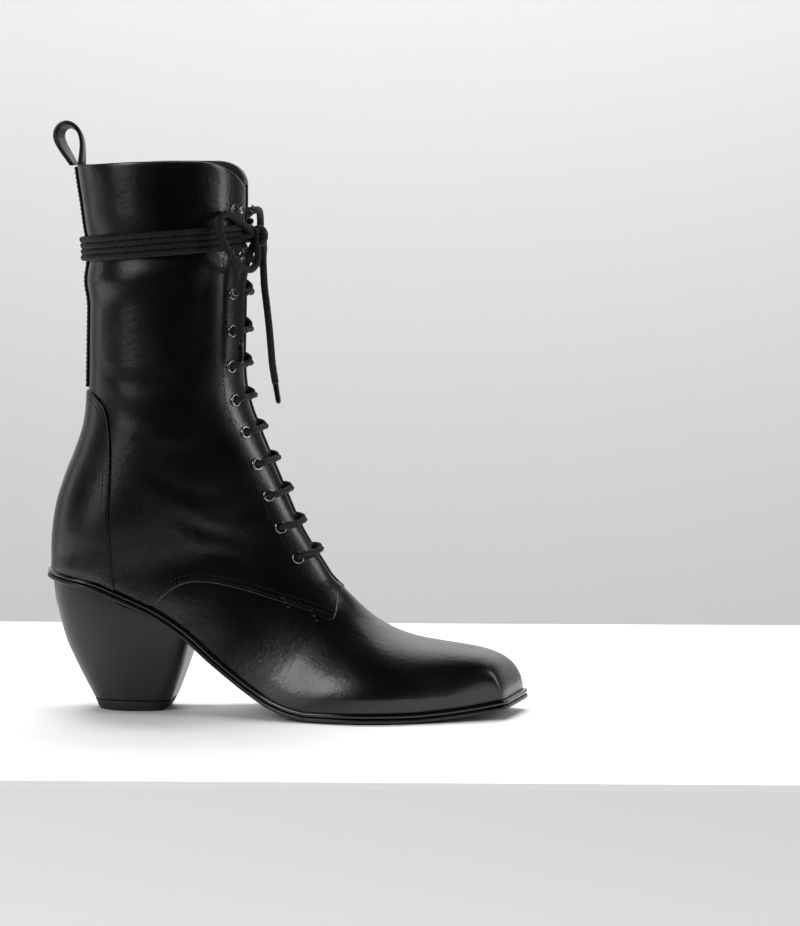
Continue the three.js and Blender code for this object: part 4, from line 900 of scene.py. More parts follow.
vampLook = {"columns": 181, "rows": 190, "behind": 0.42}
toeTip = float(rootOf(lambda q: lastPoint(q, 0.0)[..., 2] > featherAt(lastPoint(q, 0.0)[..., 0]) - tuckedUnder, 26.0, 29.0))
c = np.linspace(-1, 1, vampLook["columns"])
c = np.sign(c) * np.abs(c) ** 0.9


def inQuarter(q):
    p = lastPoint(q, vampTurn(c, q))
    return insidePolygon(p[..., 0], p[..., 2], quarterEdge)


start = rootOf(inQuarter, np.full(c.shape, 14.2), np.full(c.shape, 20.0)) - vampLook["behind"]
start = np.maximum(start, 14.25)
share = np.linspace(0, 1, vampLook["rows"])[:, None]
share = mix(share, 1 - (1 - share) ** 2, 0.75)
length = mix(np.interp(start, tableS, lengthAtS), np.interp(toeTip - 0.004, tableS, lengthAtS), share)
s = np.interp(length, lengthAtS, tableS)
turn = vampTurn(np.broadcast_to(c, s.shape), s)
vamp = panelMesh("vamp", leatherPoint(s, turn, -vampStep), leatherPoint(s, turn, -wall), [upperLeather, liningLeather], 0.2)
finishPiece(vamp, "boot", "upper_leather", "upper")
print("vamp", len(vamp.data.polygons))

# Tongue, soft, under the lace
tongueLook = {"columns": 61, "rows": 150, "bottom": throatSection + 0.9,
              "top": float(rootOf(lambda q: lastPoint(q, 0.0)[..., 2] < collarMiddle - 14.5, 4.0, 0.2))}
arcs = np.linspace(-tongueHalfWidth + 0.5, tongueHalfWidth - 0.5, tongueLook["columns"])
s = np.linspace(tongueLook["top"], tongueLook["bottom"], tongueLook["rows"])[:, None] + 0.28 * (np.abs(arcs) / tongueHalfWidth) ** 3
turn = np.stack([signedTurn(turnOf(s[:, k], abs(a), -1 if a < 0 else 1), -1 if a < 0 else 1) for k, a in enumerate(arcs)], 1)
base = lastPoint(s, turn)
folds = 0.22 * np.sin(base[..., 2] / 2.9 + 1.3 * np.sin(base[..., 1] / 5)) * np.exp(-(base[..., 1] / 9) ** 2)
folds += 0.18 * np.sin(base[..., 2] / 7.3 + base[..., 1] / 6)
normal = lastNormal(s, turn)
under = -wall - clearance - 0.15
tongue = panelMesh("tongue_soft", base + normal * (under + folds)[..., None], base + normal * (under - tongueThickness + folds)[..., None],
                   [tongueLeather, liningLeather], 0.4)
finishPiece(tongue, "boot", "tongue_leather", "tongue")

# Counter over the heel
counterLook = {"columns": 121, "rows": 90, "thickness": 1.0}
counterLine = sideLine(counterSeam, 400)
edgeRows = counterLine[counterLine[:, 0] > forward(0.092)]
edgeZ, edgeX = edgeRows[::-1, 1], edgeRows[::-1, 0]
backRows = sectionAt(tableS[tableS < 16])
backZ, backX = backRows[::-1, 3], backRows[::-1, 2]
q = np.linspace(-1, 1, counterLook["columns"])
counterTop = edgeRows[0, 1]
drop = np.linspace(0, 1, counterLook["rows"])[:, None] ** 1.5
x = np.full((counterLook["rows"], counterLook["columns"]), -20.0)
for _ in range(8):
    z = mix(counterTop, featherAt(x) - tuckedUnder, drop)
    x = np.interp(z, backZ, backX) + (np.interp(z, edgeZ, edgeX) - np.interp(z, backZ, backX)) * q ** 2
s, turn = np.empty(x.shape), np.empty(x.shape)
for side in (-1, 1):
    mine = q < 0 if side < 0 else q >= 0
    s[:, mine], turn[:, mine] = placeOf(x[:, mine], z[:, mine], side)
counter = panelMesh("counter_panel", leatherPoint(s, turn, clearance + counterLook["thickness"]), leatherPoint(s, turn, clearance - 0.25),
                    [upperLeather], 0.35)
finishPiece(counter, "boot", "upper_leather", "counter")

# Back strap up to the collar
strapLook = {"half": 7.0, "thickness": 1.2, "rows": 90, "columns": 21}
strapBottom = upLeg(0.462) + clearance
across = np.linspace(-strapLook["half"] + 0.3, strapLook["half"] - 0.3, strapLook["columns"])
sLow = float(np.interp(-strapBottom, -backRows[:, 3], tableS[tableS < 16]))
sHigh = float(np.interp(-(collarBack - 0.6), -backRows[:, 3], tableS[tableS < 16]))
s = np.broadcast_to(np.linspace(sHigh, sLow, strapLook["rows"])[:, None], (strapLook["rows"], len(across))).copy()
turn = np.empty(s.shape)
for k, a in enumerate(across):
    side = -1 if a < 0 else 1
    turn[:, k] = signedTurn(turnOf(s[:, k], totalArc(s[:, k], side) - abs(a), side), side)
strap = panelMesh("back_strap_leather", leatherPoint(s, turn, clearance + strapLook["thickness"]), leatherPoint(s, turn, clearance - 0.2),
                  [strapLeather], 0.3)
finishPiece(strap, "boot", "strap_leather", "back_strap")

# Pull loop: the strap doubled into a loop, a little twisted
loopLook = {"thickness": 2.5, "twist": 0.42}
loopRows = [(1.9, 0.2), (2.4, 8), (2.1, 13.4), (0.7, 17.8), (-2, 20.8), (-5.2, 21.9), (-8.1, 20.8), (-9.9, 18.4), (-10.3, 15.2),
            (-9, 11.4), (-6.5, 7.1), (-3.9, 2.9), (-2.2, 0)]
loopFoot = (float(sectionAt(1.0)[2]) - 0.9, collarBack + clearance)
line = spline([(loopFoot[0] + out, loopFoot[1] + up) for out, up in loopRows], 90)
tangent = unit(np.gradient(line, axis=0))
corner = np.linspace(0, 2 * pi, 40, endpoint=False)
flatY = strapLook["half"] * np.sign(np.cos(corner)) * np.abs(np.cos(corner)) ** 0.35
flatN = loopLook["thickness"] / 2 * np.sign(np.sin(corner)) * np.abs(np.sin(corner)) ** 0.6
loops = []
for k, ((x0, z0), (tx, tz)) in enumerate(zip(line, tangent)):
    share = k / (len(line) - 1)
    tilt = loopLook["twist"] * math.sin(pi * share)
    y = flatY * math.cos(tilt) - flatN * math.sin(tilt)
    n = flatY * math.sin(tilt) * 0.5 + flatN * math.cos(tilt)
    loops.append(np.stack([x0 - tz * n, y + 0.5 * math.sin(2 * pi * share), np.maximum(z0 + tx * n, loopFoot[1] - 0.2)], -1))
pull = loftMesh("pull_loop_strap", loops, [strapLeather])
finishPiece(pull, "boot", "strap_leather", "pull_loop")
print("leather panels done")

# Sole outline, where the last meets the feather line, outer and inner side from heel to toe
def zAbove(q, turn):
    p = lastPoint(q, turn)
    return p[..., 2] > featherAt(p[..., 0])


heelEnd = float(rootOf(lambda q: zAbove(q, pi), 12.0, 16.0)) + 0.002
toeEnd = float(rootOf(lambda q: zAbove(q, 0.0), 26.0, 29.0)) - 0.0015
soleLook = {"stations": 300, "toeDensity": 2.6, "toeFrom": 188}


def outlineSide(side):
    share = np.linspace(0, 1, 1400)
    q = heelEnd + (toeEnd - heelEnd) * (1 - (1 - share ** 1.5) ** 2.5)
    points = lastPoint(q, signedTurn(sideTurn(q, side, 0.0), side))
    points[0] = [points[0][0], 0, points[0][2]]
    run = np.concatenate([[0], np.cumsum(np.linalg.norm(np.diff(points, axis=0), axis=1)
                                         * np.where(points[1:, 0] > soleLook["toeFrom"], soleLook["toeDensity"], 1))])
    at = np.linspace(0, run[-1], soleLook["stations"])
    return np.stack([np.interp(at, run, points[:, k]) for k in range(3)], 1)


sides = {side: outlineSide(side) for side in (-1, 1)}
middleToe = (sides[-1][-1] + sides[1][-1]) / 2
sides[-1][-1] = sides[1][-1] = middleToe
sides[-1][0] = sides[1][0] = (sides[-1][0] + sides[1][0]) / 2
outline = np.concatenate([sides[-1], sides[1][-2:0:-1]])
for _ in range(3):
    outline[:, :2] = (outline[:, :2] * 2 + np.roll(outline[:, :2], 1, 0) + np.roll(outline[:, :2], -1, 0)) / 4
outline[:, 2] = featherAt(outline[:, 0])
ahead, behind = np.roll(outline, -1, 0), np.roll(outline, 1, 0)
outlineNormal = unit(np.stack([ahead[:, 1] - behind[:, 1], behind[:, 0] - ahead[:, 0]], -1))
if (outlineNormal[:, 0] * (outline[:, 0] - 80)).sum() < 0:
    outlineNormal = -outlineNormal
sides = {-1: outline[:soleLook["stations"]], 1: np.concatenate([outline[:1], outline[:soleLook["stations"] - 2:-1]])}
normals = {-1: outlineNormal[:soleLook["stations"]], 1: np.concatenate([outlineNormal[:1], outlineNormal[:soleLook["stations"] - 2:-1]])}


def beadOver(x):
    return mix(2.6, 1.2, smooth(0, 40, x))


# A place beside and below the feather line
def belowFeather(point, normal, away, drop):
    rise = featherRise(point[..., 0])
    size = np.hypot(rise, 1)
    return np.stack([point[..., 0] + away * normal[..., 0] + rise * drop / size, point[..., 1] + away * normal[..., 1],
                     point[..., 2] + away * normal[..., 0] * rise - drop / size], -1)


beadLook = {"height": beadHeight, "over": 0.0}
a = np.linspace(pi / 2, -pi / 2, 15)
beadSection = [(max(math.cos(t), 0) ** 0.85, 0.5 - 0.5 * math.sin(t)) for t in a] + [(-1, 1.0), (-1, 0.0)]
loops = []
for out, down in beadSection:
    away = np.where(out < 0, out * wall, out * beadOver(outline[:, 0]))
    loops.append(belowFeather(outline, outlineNormal, away, beadGap - 0.15 + down * (beadHeight + 0.15)))
bead = loftMesh("bead_welt", np.stack(loops, 1), [beadLeather], closed=True)
finishPiece(bead, "boot", "bead_leather", "bead")


# A plate under the boot: a rounded edge all round, ruled across between its two sides
def plateMesh(name, left, right, leftNormal, rightNormal, profile, material, across=22):
    def ring(point, normal):
        return [belowFeather(point, normal, away(point[..., 0]), drop) for away, drop in profile]

    outer, inner = ring(left, leftNormal), ring(right, rightNormal)
    shares = np.linspace(0, 1, across + 2)[1:-1]
    under = [mix(outer[-1], inner[-1], t) for t in shares]
    over = [mix(inner[0], outer[0], t) for t in shares]
    for rows, drop in ((under, profile[-1][1]), (over, profile[0][1])):
        for points in rows:
            points[..., 2] = featherAt(points[..., 0]) - drop * np.hypot(featherRise(points[..., 0]), 1)
    loops = np.stack(outer + under + inner[::-1] + over, 1)
    return loftMesh(name, loops, [material], weld=True)


soleGrow = lambda inset: (lambda x: beadOver(x) - 0.2 - inset)
soleProfile = [(soleGrow(1.2), outsoleTop), (soleGrow(0.35), outsoleTop + 0.02), (soleGrow(0.08), outsoleTop + 0.25),
               (soleGrow(0), outsoleTop + 0.7), (soleGrow(0), soleStack - 0.6), (soleGrow(0.12), soleStack - 0.2),
               (soleGrow(0.5), soleStack - 0.02), (soleGrow(1.4), soleStack)]
outsole = plateMesh("outsole_leather", sides[-1], sides[1], normals[-1], normals[1], soleProfile, soleLeather)
finishPiece(outsole, "boot", "sole_leather", "outsole")
insoleProfile = [(lambda x: -2.9 + 0 * x, -1.3), (lambda x: -2.4 + 0 * x, -0.8), (lambda x: -2.3 + 0 * x, 0.6), (lambda x: -2.6 + 0 * x, 1.6)]
insole = plateMesh("insole_sock", sides[-1], sides[1], normals[-1], normals[1], insoleProfile, liningLeather)
finishPiece(insole, "boot", "lining", "insole")

# Forefoot rubber, proud of the sole
padLook = {"rear": forward(0.506), "front": forward(0.934), "rounding": 26, "corner": 7, "inset": 12}


def halfWidthAt(x, side):
    order = np.argsort(sides[side][:, 0])
    return np.interp(x, sides[side][order, 0], np.abs(sides[side][order, 1]))


def padSide(side):
    rear, front, rounding, cornerSize = (padLook[k] for k in ("rear", "front", "rounding", "corner"))
    x = np.concatenate([rear + rounding * (1 - np.cos(np.linspace(0, pi / 2, 40))),
                        np.linspace(rear + rounding, front - cornerSize, 60)[1:],
                        front - cornerSize * (1 - np.sin(np.linspace(0, pi / 2, 24)[1:]))])
    near = np.minimum(1, (x - rear) / rounding)
    far = np.maximum(0, (x - front + cornerSize) / cornerSize)
    ends = np.sqrt(np.clip(1 - (1 - near) ** 2, 0, 1)) - (1 - np.sqrt(np.clip(1 - far ** 2, 0, 1))) * 0.28
    half = (halfWidthAt(np.minimum(x, front - cornerSize), side) - padLook["inset"]) * ends
    y = side * np.maximum(half, 0.01)
    x = x + footRows[-2][10] * y * np.clip((x - 150) / 40, 0, 1)
    toeY = np.linspace(1, 0, 12)[1:]
    x, y = np.concatenate([x, x[-1] + 0 * toeY]), np.concatenate([y, y[-1] * toeY])
    x[-11:] = mix(x[-12], front, 1 - toeY) - 0.5 * np.sin(pi * (1 - toeY) / 2)
    return np.stack([x, y, featherAt(x)], -1)


padSides = {side: padSide(side) for side in (-1, 1)}
padSides[-1][-1] = padSides[1][-1] = (padSides[-1][-1] + padSides[1][-1]) / 2
padNormals = {}
for side in (-1, 1):
    step = np.gradient(padSides[side][:, :2], axis=0)
    padNormals[side] = side * unit(np.stack([-step[:, 1], step[:, 0]], -1))
    padNormals[side][0], padNormals[side][-1] = (-1, 0), (1, 0)
padTop = soleStack - soleRecess + clearance
padProfile = [(lambda x: -0.4 + 0 * x, padTop), (lambda x: 0 * x, padTop + 0.1), (lambda x: 0 * x, padTop + padThickness - 0.35),
              (lambda x: -0.12 + 0 * x, padTop + padThickness - 0.1), (lambda x: -0.5 + 0 * x, padTop + padThickness)]
pad = plateMesh("forefoot_rubber_sheet", padSides[-1], padSides[1], padNormals[-1], padNormals[1], padProfile, toothedRubber)
finishPiece(pad, "boot", "rubber", "forefoot_rubber")

# Heel: stacked block, covered and burnished, with a rubber top piece
heelLook = {"seat": 57, "depth": 83, "lift": 5.4, "roundness": 0.94, "corner": 10}
heelRows = [(0, -0.217, 0.241, 0.316), (0.08, -0.248, 0.28, 0.326), (0.22, -0.312, 0.328, 0.347), (0.36, -0.373, 0.37, 0.381),
            (0.52, -0.433, 0.41, 0.425), (0.7, -0.477, 0.46, 0.467), (0.86, -0.507, 0.53, 0.49), (1.0, -0.518, 0.6, 0.5),
            (1.15, -0.52, 0.66, 0.5)]
heelCurve = {name: monotone([row[0] * seatHeight for row in heelRows], [row[k] for row in heelRows])
             for k, name in ((1, "back"), (2, "breast"), (3, "half"))}


def heelRing(z, inset=0.0):
    z = np.asarray(z, float)
    back, breast = heelCurve["back"](z) * heelLook["depth"] + inset, heelCurve["breast"](z) * heelLook["depth"] - inset
    half = heelCurve["half"](z) * heelLook["seat"] - inset
    centre, e = (back + breast) / 2, heelLook["roundness"]
    a = np.linspace(-pi / 2, pi / 2, 49)
    x = [centre - (centre - back) * max(math.cos(t), 0) ** e for t in a]
    y = [half * math.copysign(abs(math.sin(t)) ** e, math.sin(t)) for t in a]
    side = half * 0.9
    r = heelLook["corner"]
    breastSide = [(mix(centre, breast - r, t), mix(half, side + 0.8, t * t)) for t in (0.25, 0.5, 0.75, 1.0)]
    breastSide += [(breast - r + r * math.sin(t), side + 0.8 - r + r * math.cos(t)) for t in np.linspace(0.2, pi / 2, 9)]
    breastSide += [(breast + 0 * side, (side + 0.8 - r) * t) for t in (0.75, 0.5, 0.25)]
    x += [p[0] for p in breastSide] + [breast] + [p[0] for p in breastSide[::-1]]
    y += [p[1] for p in breastSide] + [0 * side] + [-p[1] for p in breastSide[::-1]]
    return np.stack([np.broadcast_to(v, z.shape) for v in x], -1), np.stack([np.broadcast_to(v, z.shape) for v in y], -1)


def heelTop(x):
    return featherAt(x) - (soleStack + 0.02) * np.hypot(featherRise(x), 1)


levels = np.linspace(heelLook["lift"] + clearance, seatHeight * 1.14, 500)
ringX, ringY = heelRing(levels)
tops = np.array([levels[np.argmax(levels > heelTop(ringX[:, j]))] for j in range(ringX.shape[1])])
tops = (tops * 2 + np.roll(tops, 1) + np.roll(tops, -1)) / 4
loops = []
for share, inset in [(0, 1.0), (0, 0.35), (0.004, 0.08)] + [(t, 0.0) for t in np.linspace(0.012, 1, 46)]:
    z = mix(levels[0], tops, share)
    grown = [heelRing(zj, inset) for zj in z]
    loops.append(np.stack([[g[0][j] for j, g in enumerate(grown)], [g[1][j] for j, g in enumerate(grown)], z], -1))
heel = loftMesh("heel_block_covered", loops, [heelLeather])
finishPiece(heel, "boot", "heel_leather", "heel_block")
loops = []
for z, inset in [(0, 1.2), (0, 0.5), (0.12, 0.15), (0.5, 0.0), (2.7, 0.0), (4.9, 0.0), (5.25, 0.15), (5.4, 0.6)]:
    x, y = heelRing(z, inset)
    loops.append(np.stack([x, y, np.full(x.shape, float(z))], -1))
topPiece = loftMesh("heel_top_piece_rubber", loops, [toothedRubber])
finishPiece(topPiece, "boot", "rubber", "heel_top_piece")
print("sole and heel done")

# Zip on the inner side: two plackets, the tape between them and its teeth
zipLook = {"thickness": 0.9, "half": 12, "slit": 1.5, "rows": 150, "teethPitch": 1.5}
zipCurve = spline([(forward(x), upLeg(z)) for x, z in zipLine], 600)
zipCurve = evenly(zipCurve[zipCurve[:, 1] < collarMiddle - 2 * clearance], zipLook["rows"])
zipTangent = unit(np.gradient(zipCurve, axis=0))


def zipGrid(near, far, offset, columns, end=1.0):
    rows = int(round((zipLook["rows"] - 1) * end)) + 1
    d = np.linspace(near, far, columns)
    x = zipCurve[:rows, None, 0] - zipTangent[:rows, None, 1] * d
    z = zipCurve[:rows, None, 1] + zipTangent[:rows, None, 0] * d
    s, turn = placeOf(x, z, 1)
    return leatherPoint(s, turn, np.full(s.shape, offset))


seat = 1.2 * clearance
for name, near, far in (("front", zipLook["slit"], zipLook["half"]), ("back", -zipLook["half"], -zipLook["slit"])):
    placket = panelMesh("zip_placket_" + name + "_leather", zipGrid(near, far, seat + zipLook["thickness"], 15),
                        zipGrid(near, far, seat - 0.3, 15), [upperLeather], 0.3)
    finishPiece(placket, "boot", "upper_leather", "zip_placket_" + name)
tape = panelMesh("zip_tape", zipGrid(-1.6, 1.6, seat + 0.25, 5, 0.97), zipGrid(-1.6, 1.6, seat - 0.2, 5, 0.97), [waxedCotton], 0.05)
finishPiece(tape, "boot", "lace")


# Geometry Nodes: small parts set along a path
def growTree(name, sockets, build):
    tree = bpy.data.node_groups.new(name, "GeometryNodeTree")
    tree.interface.new_socket("Geometry", in_out="INPUT", socket_type="NodeSocketGeometry")
    for label, kind, value in sockets:
        tree.interface.new_socket(label, in_out="INPUT", socket_type=kind).default_value = value
    tree.interface.new_socket("Geometry", in_out="OUTPUT", socket_type="NodeSocketGeometry")
    source = addNode(tree, "NodeGroupInput")
    made = build(tree, source.outputs)
    real = addNode(tree, "GeometryNodeRealizeInstances", {0: made})
    smoothed = addNode(tree, "GeometryNodeSetShadeSmooth", {0: real.outputs[0]})
    coloured = addNode(tree, "GeometryNodeSetMaterial", {0: smoothed.outputs[0]})
    coloured.inputs["Material"].default_value = None
    addNode(tree, "NodeGroupOutput", {0: coloured.outputs[0]})
    return tree, coloured


def growPiece(name, lines, tree, setMaterial, values, material, body, slot, *replaced):
    verts, edges = [], []
    for line in lines:
        start = len(verts)
        verts += (np.asarray(line) * metre).tolist()
        edges += [(start + i, start + i + 1) for i in range(len(line) - 1)]
    mesh = bpy.data.meshes.new(name + "_path")
    mesh.from_pydata(verts, edges, [])
    path = bpy.data.objects.new(name + "_path", mesh)
    scene.collection.objects.link(path)
    setMaterial.inputs["Material"].default_value = material
    modifier = path.modifiers.new("grow", "NODES")
    modifier.node_group = tree
    for item in tree.interface.items_tree:
        if item.in_out == "INPUT" and item.name in values:
            modifier[item.identifier] = values[item.name]
    bpy.context.view_layer.update()
    made = bpy.data.meshes.new_from_object(path.evaluated_get(bpy.context.evaluated_depsgraph_get()))
    made.name = name
    piece = bpy.data.objects.new(name, made)
    scene.collection.objects.link(piece)
    path.modifiers.clear()
    bpy.data.objects.remove(path)
    if not made.materials:
        made.materials.append(material)
    return finishPiece(piece, body, slot, *replaced)


def stitchBuild(tree, given):
    curve = addNode(tree, "GeometryNodeMeshToCurve", {0: given["Geometry"]})
    points = addNode(tree, "GeometryNodeCurveToPoints", {0: curve.outputs[0], "Length": given["Pitch"]}, mode="LENGTH")
    ball = addNode(tree, "GeometryNodeMeshUVSphere", {"Segments": 8, "Rings": 6, "Radius": 0.5})
    size = addNode(tree, "ShaderNodeCombineXYZ", {0: given["Thickness"], 1: given["Thickness"], 2: given["Length"]})
    grain = addNode(tree, "GeometryNodeTransform", {0: ball.outputs[0], "Scale": size.outputs[0]})
    turned = addNode(tree, "FunctionNodeAlignRotationToVector", {"Vector": points.outputs["Tangent"]}, axis="Z")
    vary = addNode(tree, "FunctionNodeRandomValue", {2: 0.9, 3: 1.08, "Seed": given["Seed"]}, data_type="FLOAT")
    return addNode(tree, "GeometryNodeInstanceOnPoints", {0: points.outputs["Points"], "Instance": grain.outputs[0],
                   "Rotation": turned.outputs[0], "Scale": vary.outputs[1]}).outputs[0]


stitchTree, stitchMaterial = growTree("stitch rows", [("Pitch", "NodeSocketFloat", 0.0026), ("Length", "NodeSocketFloat", 0.0019),
    ("Thickness", "NodeSocketFloat", 0.0005), ("Seed", "NodeSocketInt", 3)], stitchBuild)
stitchLook = {"Pitch": 0.0024, "Length": 0.0017, "Thickness": 0.00055, "Seed": 3}


def sideRow(points, side, offset, count=200, away=0.0):
    line = spline(points, count)
    if away:
        t = unit(np.gradient(line, axis=0))
        line = line + away * np.stack([-t[:, 1], t[:, 0]], -1)
    s, turn = placeOf(line[:, 0], line[:, 1], side)
    return leatherPoint(s, turn, np.full(len(line), offset))


eyestay = [(59.2, 285), (58.6, 273), (55.5, 246), (55, 221.6), (54.6, 197), (55.6, 172.4), (59.7, 156.5), (68, 134.2), (75, 115.3),
           (85.4, 94), (95.9, 78.4), (108, 66)]
rowsOnLeather = []
for side in (-1, 1):
    rowsOnLeather.append(sideRow(eyestay, side, 0.1))
    seamPoints = [(forward(x), upLeg(z)) for x, z in vampSeam]
    rowsOnLeather += [sideRow(seamPoints[:9], side, 0.1, away=1.6), sideRow(seamPoints[:9], side, 0.1, away=4.0)]
for inset in (1.5, 3.7):
    for side in (-1, 1):
        edge = counterLine[counterLine[:, 0] > forward(0.092)]
        t = unit(np.gradient(edge, axis=0))
        row = edge + inset * np.stack([t[:, 1], -t[:, 0]], -1)
        row = row[row[:, 1] > featherAt(row[:, 0]) + 1]
        s, turn = placeOf(row[:, 0], row[:, 1], side)
        rowsOnLeather.append(leatherPoint(s, turn, np.full(len(row), clearance + counterLook["thickness"] + 0.1)))
for d in (-10.6, -8.4, -3.0, 3.0, 8.4, 10.6):
    row = zipGrid(d, d + 0.01, seat + zipLook["thickness"] + 0.1, 2, 0.985)[:, 0]
    rowsOnLeather.append(row)
for side in (-1, 1):
    s = np.linspace(sHigh + 0.05, sLow - 0.05, 200)
    rowsOnLeather.append(leatherPoint(s, signedTurn(turnOf(s, totalArc(s, side) - 5.4, side), side),
                                      np.full(s.shape, clearance + strapLook["thickness"] + 0.1)))
tackLook = {"length": 5.5, "rows": 4, "gap": 0.42}
for x, z in ((88.2, 61.2), (103.5, 54.2)):
    for k in range(tackLook["rows"]):
        away = (k - (tackLook["rows"] - 1) / 2) * tackLook["gap"]
        for side in (-1, 1):
            rowsOnLeather.append(sideRow([(x - 1.6 + away, z + 2.4), (x + away, z), (x + 1.6 + away, z - 2.4)], side, 0.14, 12))
growPiece("stitch_rows", rowsOnLeather, stitchTree, stitchMaterial, stitchLook, thread, "boot", "upper_leather")


def teethBuild(tree, given):
    curve = addNode(tree, "GeometryNodeMeshToCurve", {0: given["Geometry"]})
    points = addNode(tree, "GeometryNodeCurveToPoints", {0: curve.outputs[0], "Length": given["Pitch"]}, mode="LENGTH")
    tooth = addNode(tree, "GeometryNodeMeshUVSphere", {"Segments": 10, "Rings": 6, "Radius": 0.5})
    size = addNode(tree, "ShaderNodeCombineXYZ", {0: given["Width"], 1: given["Height"], 2: given["Length"]})
    shaped = addNode(tree, "GeometryNodeTransform", {0: tooth.outputs[0], "Scale": size.outputs[0]})
    turned = addNode(tree, "FunctionNodeAlignRotationToVector", {"Vector": points.outputs["Tangent"]}, axis="Z")
    return addNode(tree, "GeometryNodeInstanceOnPoints", {0: points.outputs["Points"], "Instance": shaped.outputs[0],
                                                          "Rotation": turned.outputs[0]}).outputs[0]


teethTree, teethMaterial = growTree("zip teeth", [("Pitch", "NodeSocketFloat", 0.0015), ("Width", "NodeSocketFloat", 0.002),
    ("Height", "NodeSocketFloat", 0.0012), ("Length", "NodeSocketFloat", 0.0009)], teethBuild)
chain = zipGrid(-0.55, 0.55, seat + 0.5, 2, 0.96)
growPiece("zip_teeth", [chain[:, 0], chain[1:, 1]], teethTree, teethMaterial,
          {"Pitch": 0.0015, "Width": 0.0012, "Height": 0.0013, "Length": 0.0011}, gunmetal, "boot", "gunmetal", "zip_chain")
print("zip and stitches done")


# Slider and pull tab: the solids themselves with softened edges
def softened(node, body, width):
    mesh = nodes[node].data.copy()
    import bmesh
    shape = bmesh.new()
    shape.from_mesh(mesh)
    bmesh.ops.remove_doubles(shape, verts=shape.verts, dist=1e-6)
    bmesh.ops.dissolve_limit(shape, angle_limit=0.02, verts=shape.verts, edges=shape.edges)
    shape.to_mesh(mesh)
    shape.free()
    piece = bpy.data.objects.new(node + "_plated", mesh)
    scene.collection.objects.link(piece)
    bevel = piece.modifiers.new("edges", "BEVEL")
    bevel.width, bevel.segments, bevel.limit_method, bevel.angle_limit = width, 2, "ANGLE", math.radians(35)
    bpy.context.view_layer.update()
    made = bpy.data.meshes.new_from_object(piece.evaluated_get(bpy.context.evaluated_depsgraph_get()))
    piece.modifiers.clear()
    piece.data = made
    made.materials.clear()
    made.materials.append(gunmetal)
    return finishPiece(piece, body, "gunmetal", node)


softened("zip_slider", "boot", 0.00022)
softened("zip_pull", "zip_pull", 0.00018)


# Eyelets: rolled rings, one shape turned to each place
def latheLoops(profile, segments=28):
    a = np.linspace(0, 2 * pi, segments, endpoint=False)
    return [np.stack([r * np.cos(a), r * np.sin(a), np.full(a.shape, h)], -1) for r, h in profile]


def turnedTo(loops, place, normal, forwardTo=(0, 0, 1)):
    z = unit(np.array(normal))
    x = unit(np.cross(np.array(forwardTo, float), z))
    y = np.cross(z, x)
    flat = np.array(loops)
    return place + flat[..., :1] * x + flat[..., 1:2] * y + flat[..., 2:] * z


ringProfile = [(2.1, -2.6), (2.1, -0.4), (2.16, 0.45), (2.4, 0.8), (2.75, 0.92), (3.1, 0.82), (3.4, 0.5), (3.5, 0.12), (3.46, -0.05)]
hookBase = [(0.05, -0.1), (2.0, -0.1), (3.1, -0.05), (3.15, 0.4), (2.85, 0.75), (2.3, 0.8), (1.9, 0.5), (0.05, 0.45)]
hookDisc = [(0.05, 3.2), (1.9, 3.2), (2.25, 3.4), (2.2, 3.7), (1.7, 3.86), (0.05, 3.9)]
hookArm = {"reach": 2.8, "post": 0.95}


def hookLoops(place, normal, toEdge):
    arm = []
    for along, height, size in ((-0.4, 0.2, 1.25), (-0.3, 1.2, 1.1), (0.1, 2.2, 1.0), (0.9, 2.9, 1.0), (1.9, 3.3, 0.95), (2.6, 3.45, 0.7)):
        ring = latheLoops([(size, 0)])[0]
        arm.append(turnedTo([ring], place + normal * height + toEdge * along * hookArm["reach"] / 2.6, normal)[0])
    return [turnedTo(latheLoops(hookBase), place, normal), np.array(arm),
            turnedTo(latheLoops(hookDisc), place + toEdge * hookArm["reach"], normal)]


for label, side in (("outer", -1), ("inner", 1)):
    loopsOf = []
    for i, run in enumerate(eyeletRuns):
        place, normal = facing(run, side, eyeletLine, 0.12)
        loopsOf.append((turnedTo(latheLoops(ringProfile), place, normal), np.zeros((len(ringProfile) * 28, 2)), None))
    ring = joined("eyelets_" + label, loopsOf, gunmetal)
    finishPiece(ring, "boot", "gunmetal", *[f"eyelet_{label}_{i + 1}" for i in range(eyeletCount)])
    loopsOf = []
    for i, run in enumerate(hookRuns):
        place, normal = facing(run, side, eyeletLine, 0.12)
        nearer, _ = facing(run, side, eyeletLine - 3, 0.12)
        for part in hookLoops(place, normal, unit(nearer - place)):
            loopsOf.append((part, np.zeros((part.shape[0] * part.shape[1], 2)), None))
    hooks = joined("hooks_" + label, loopsOf, gunmetal)
    finishPiece(hooks, "boot", "gunmetal", *[f"hook_{label}_{i + 1}" for i in range(hookCount)])

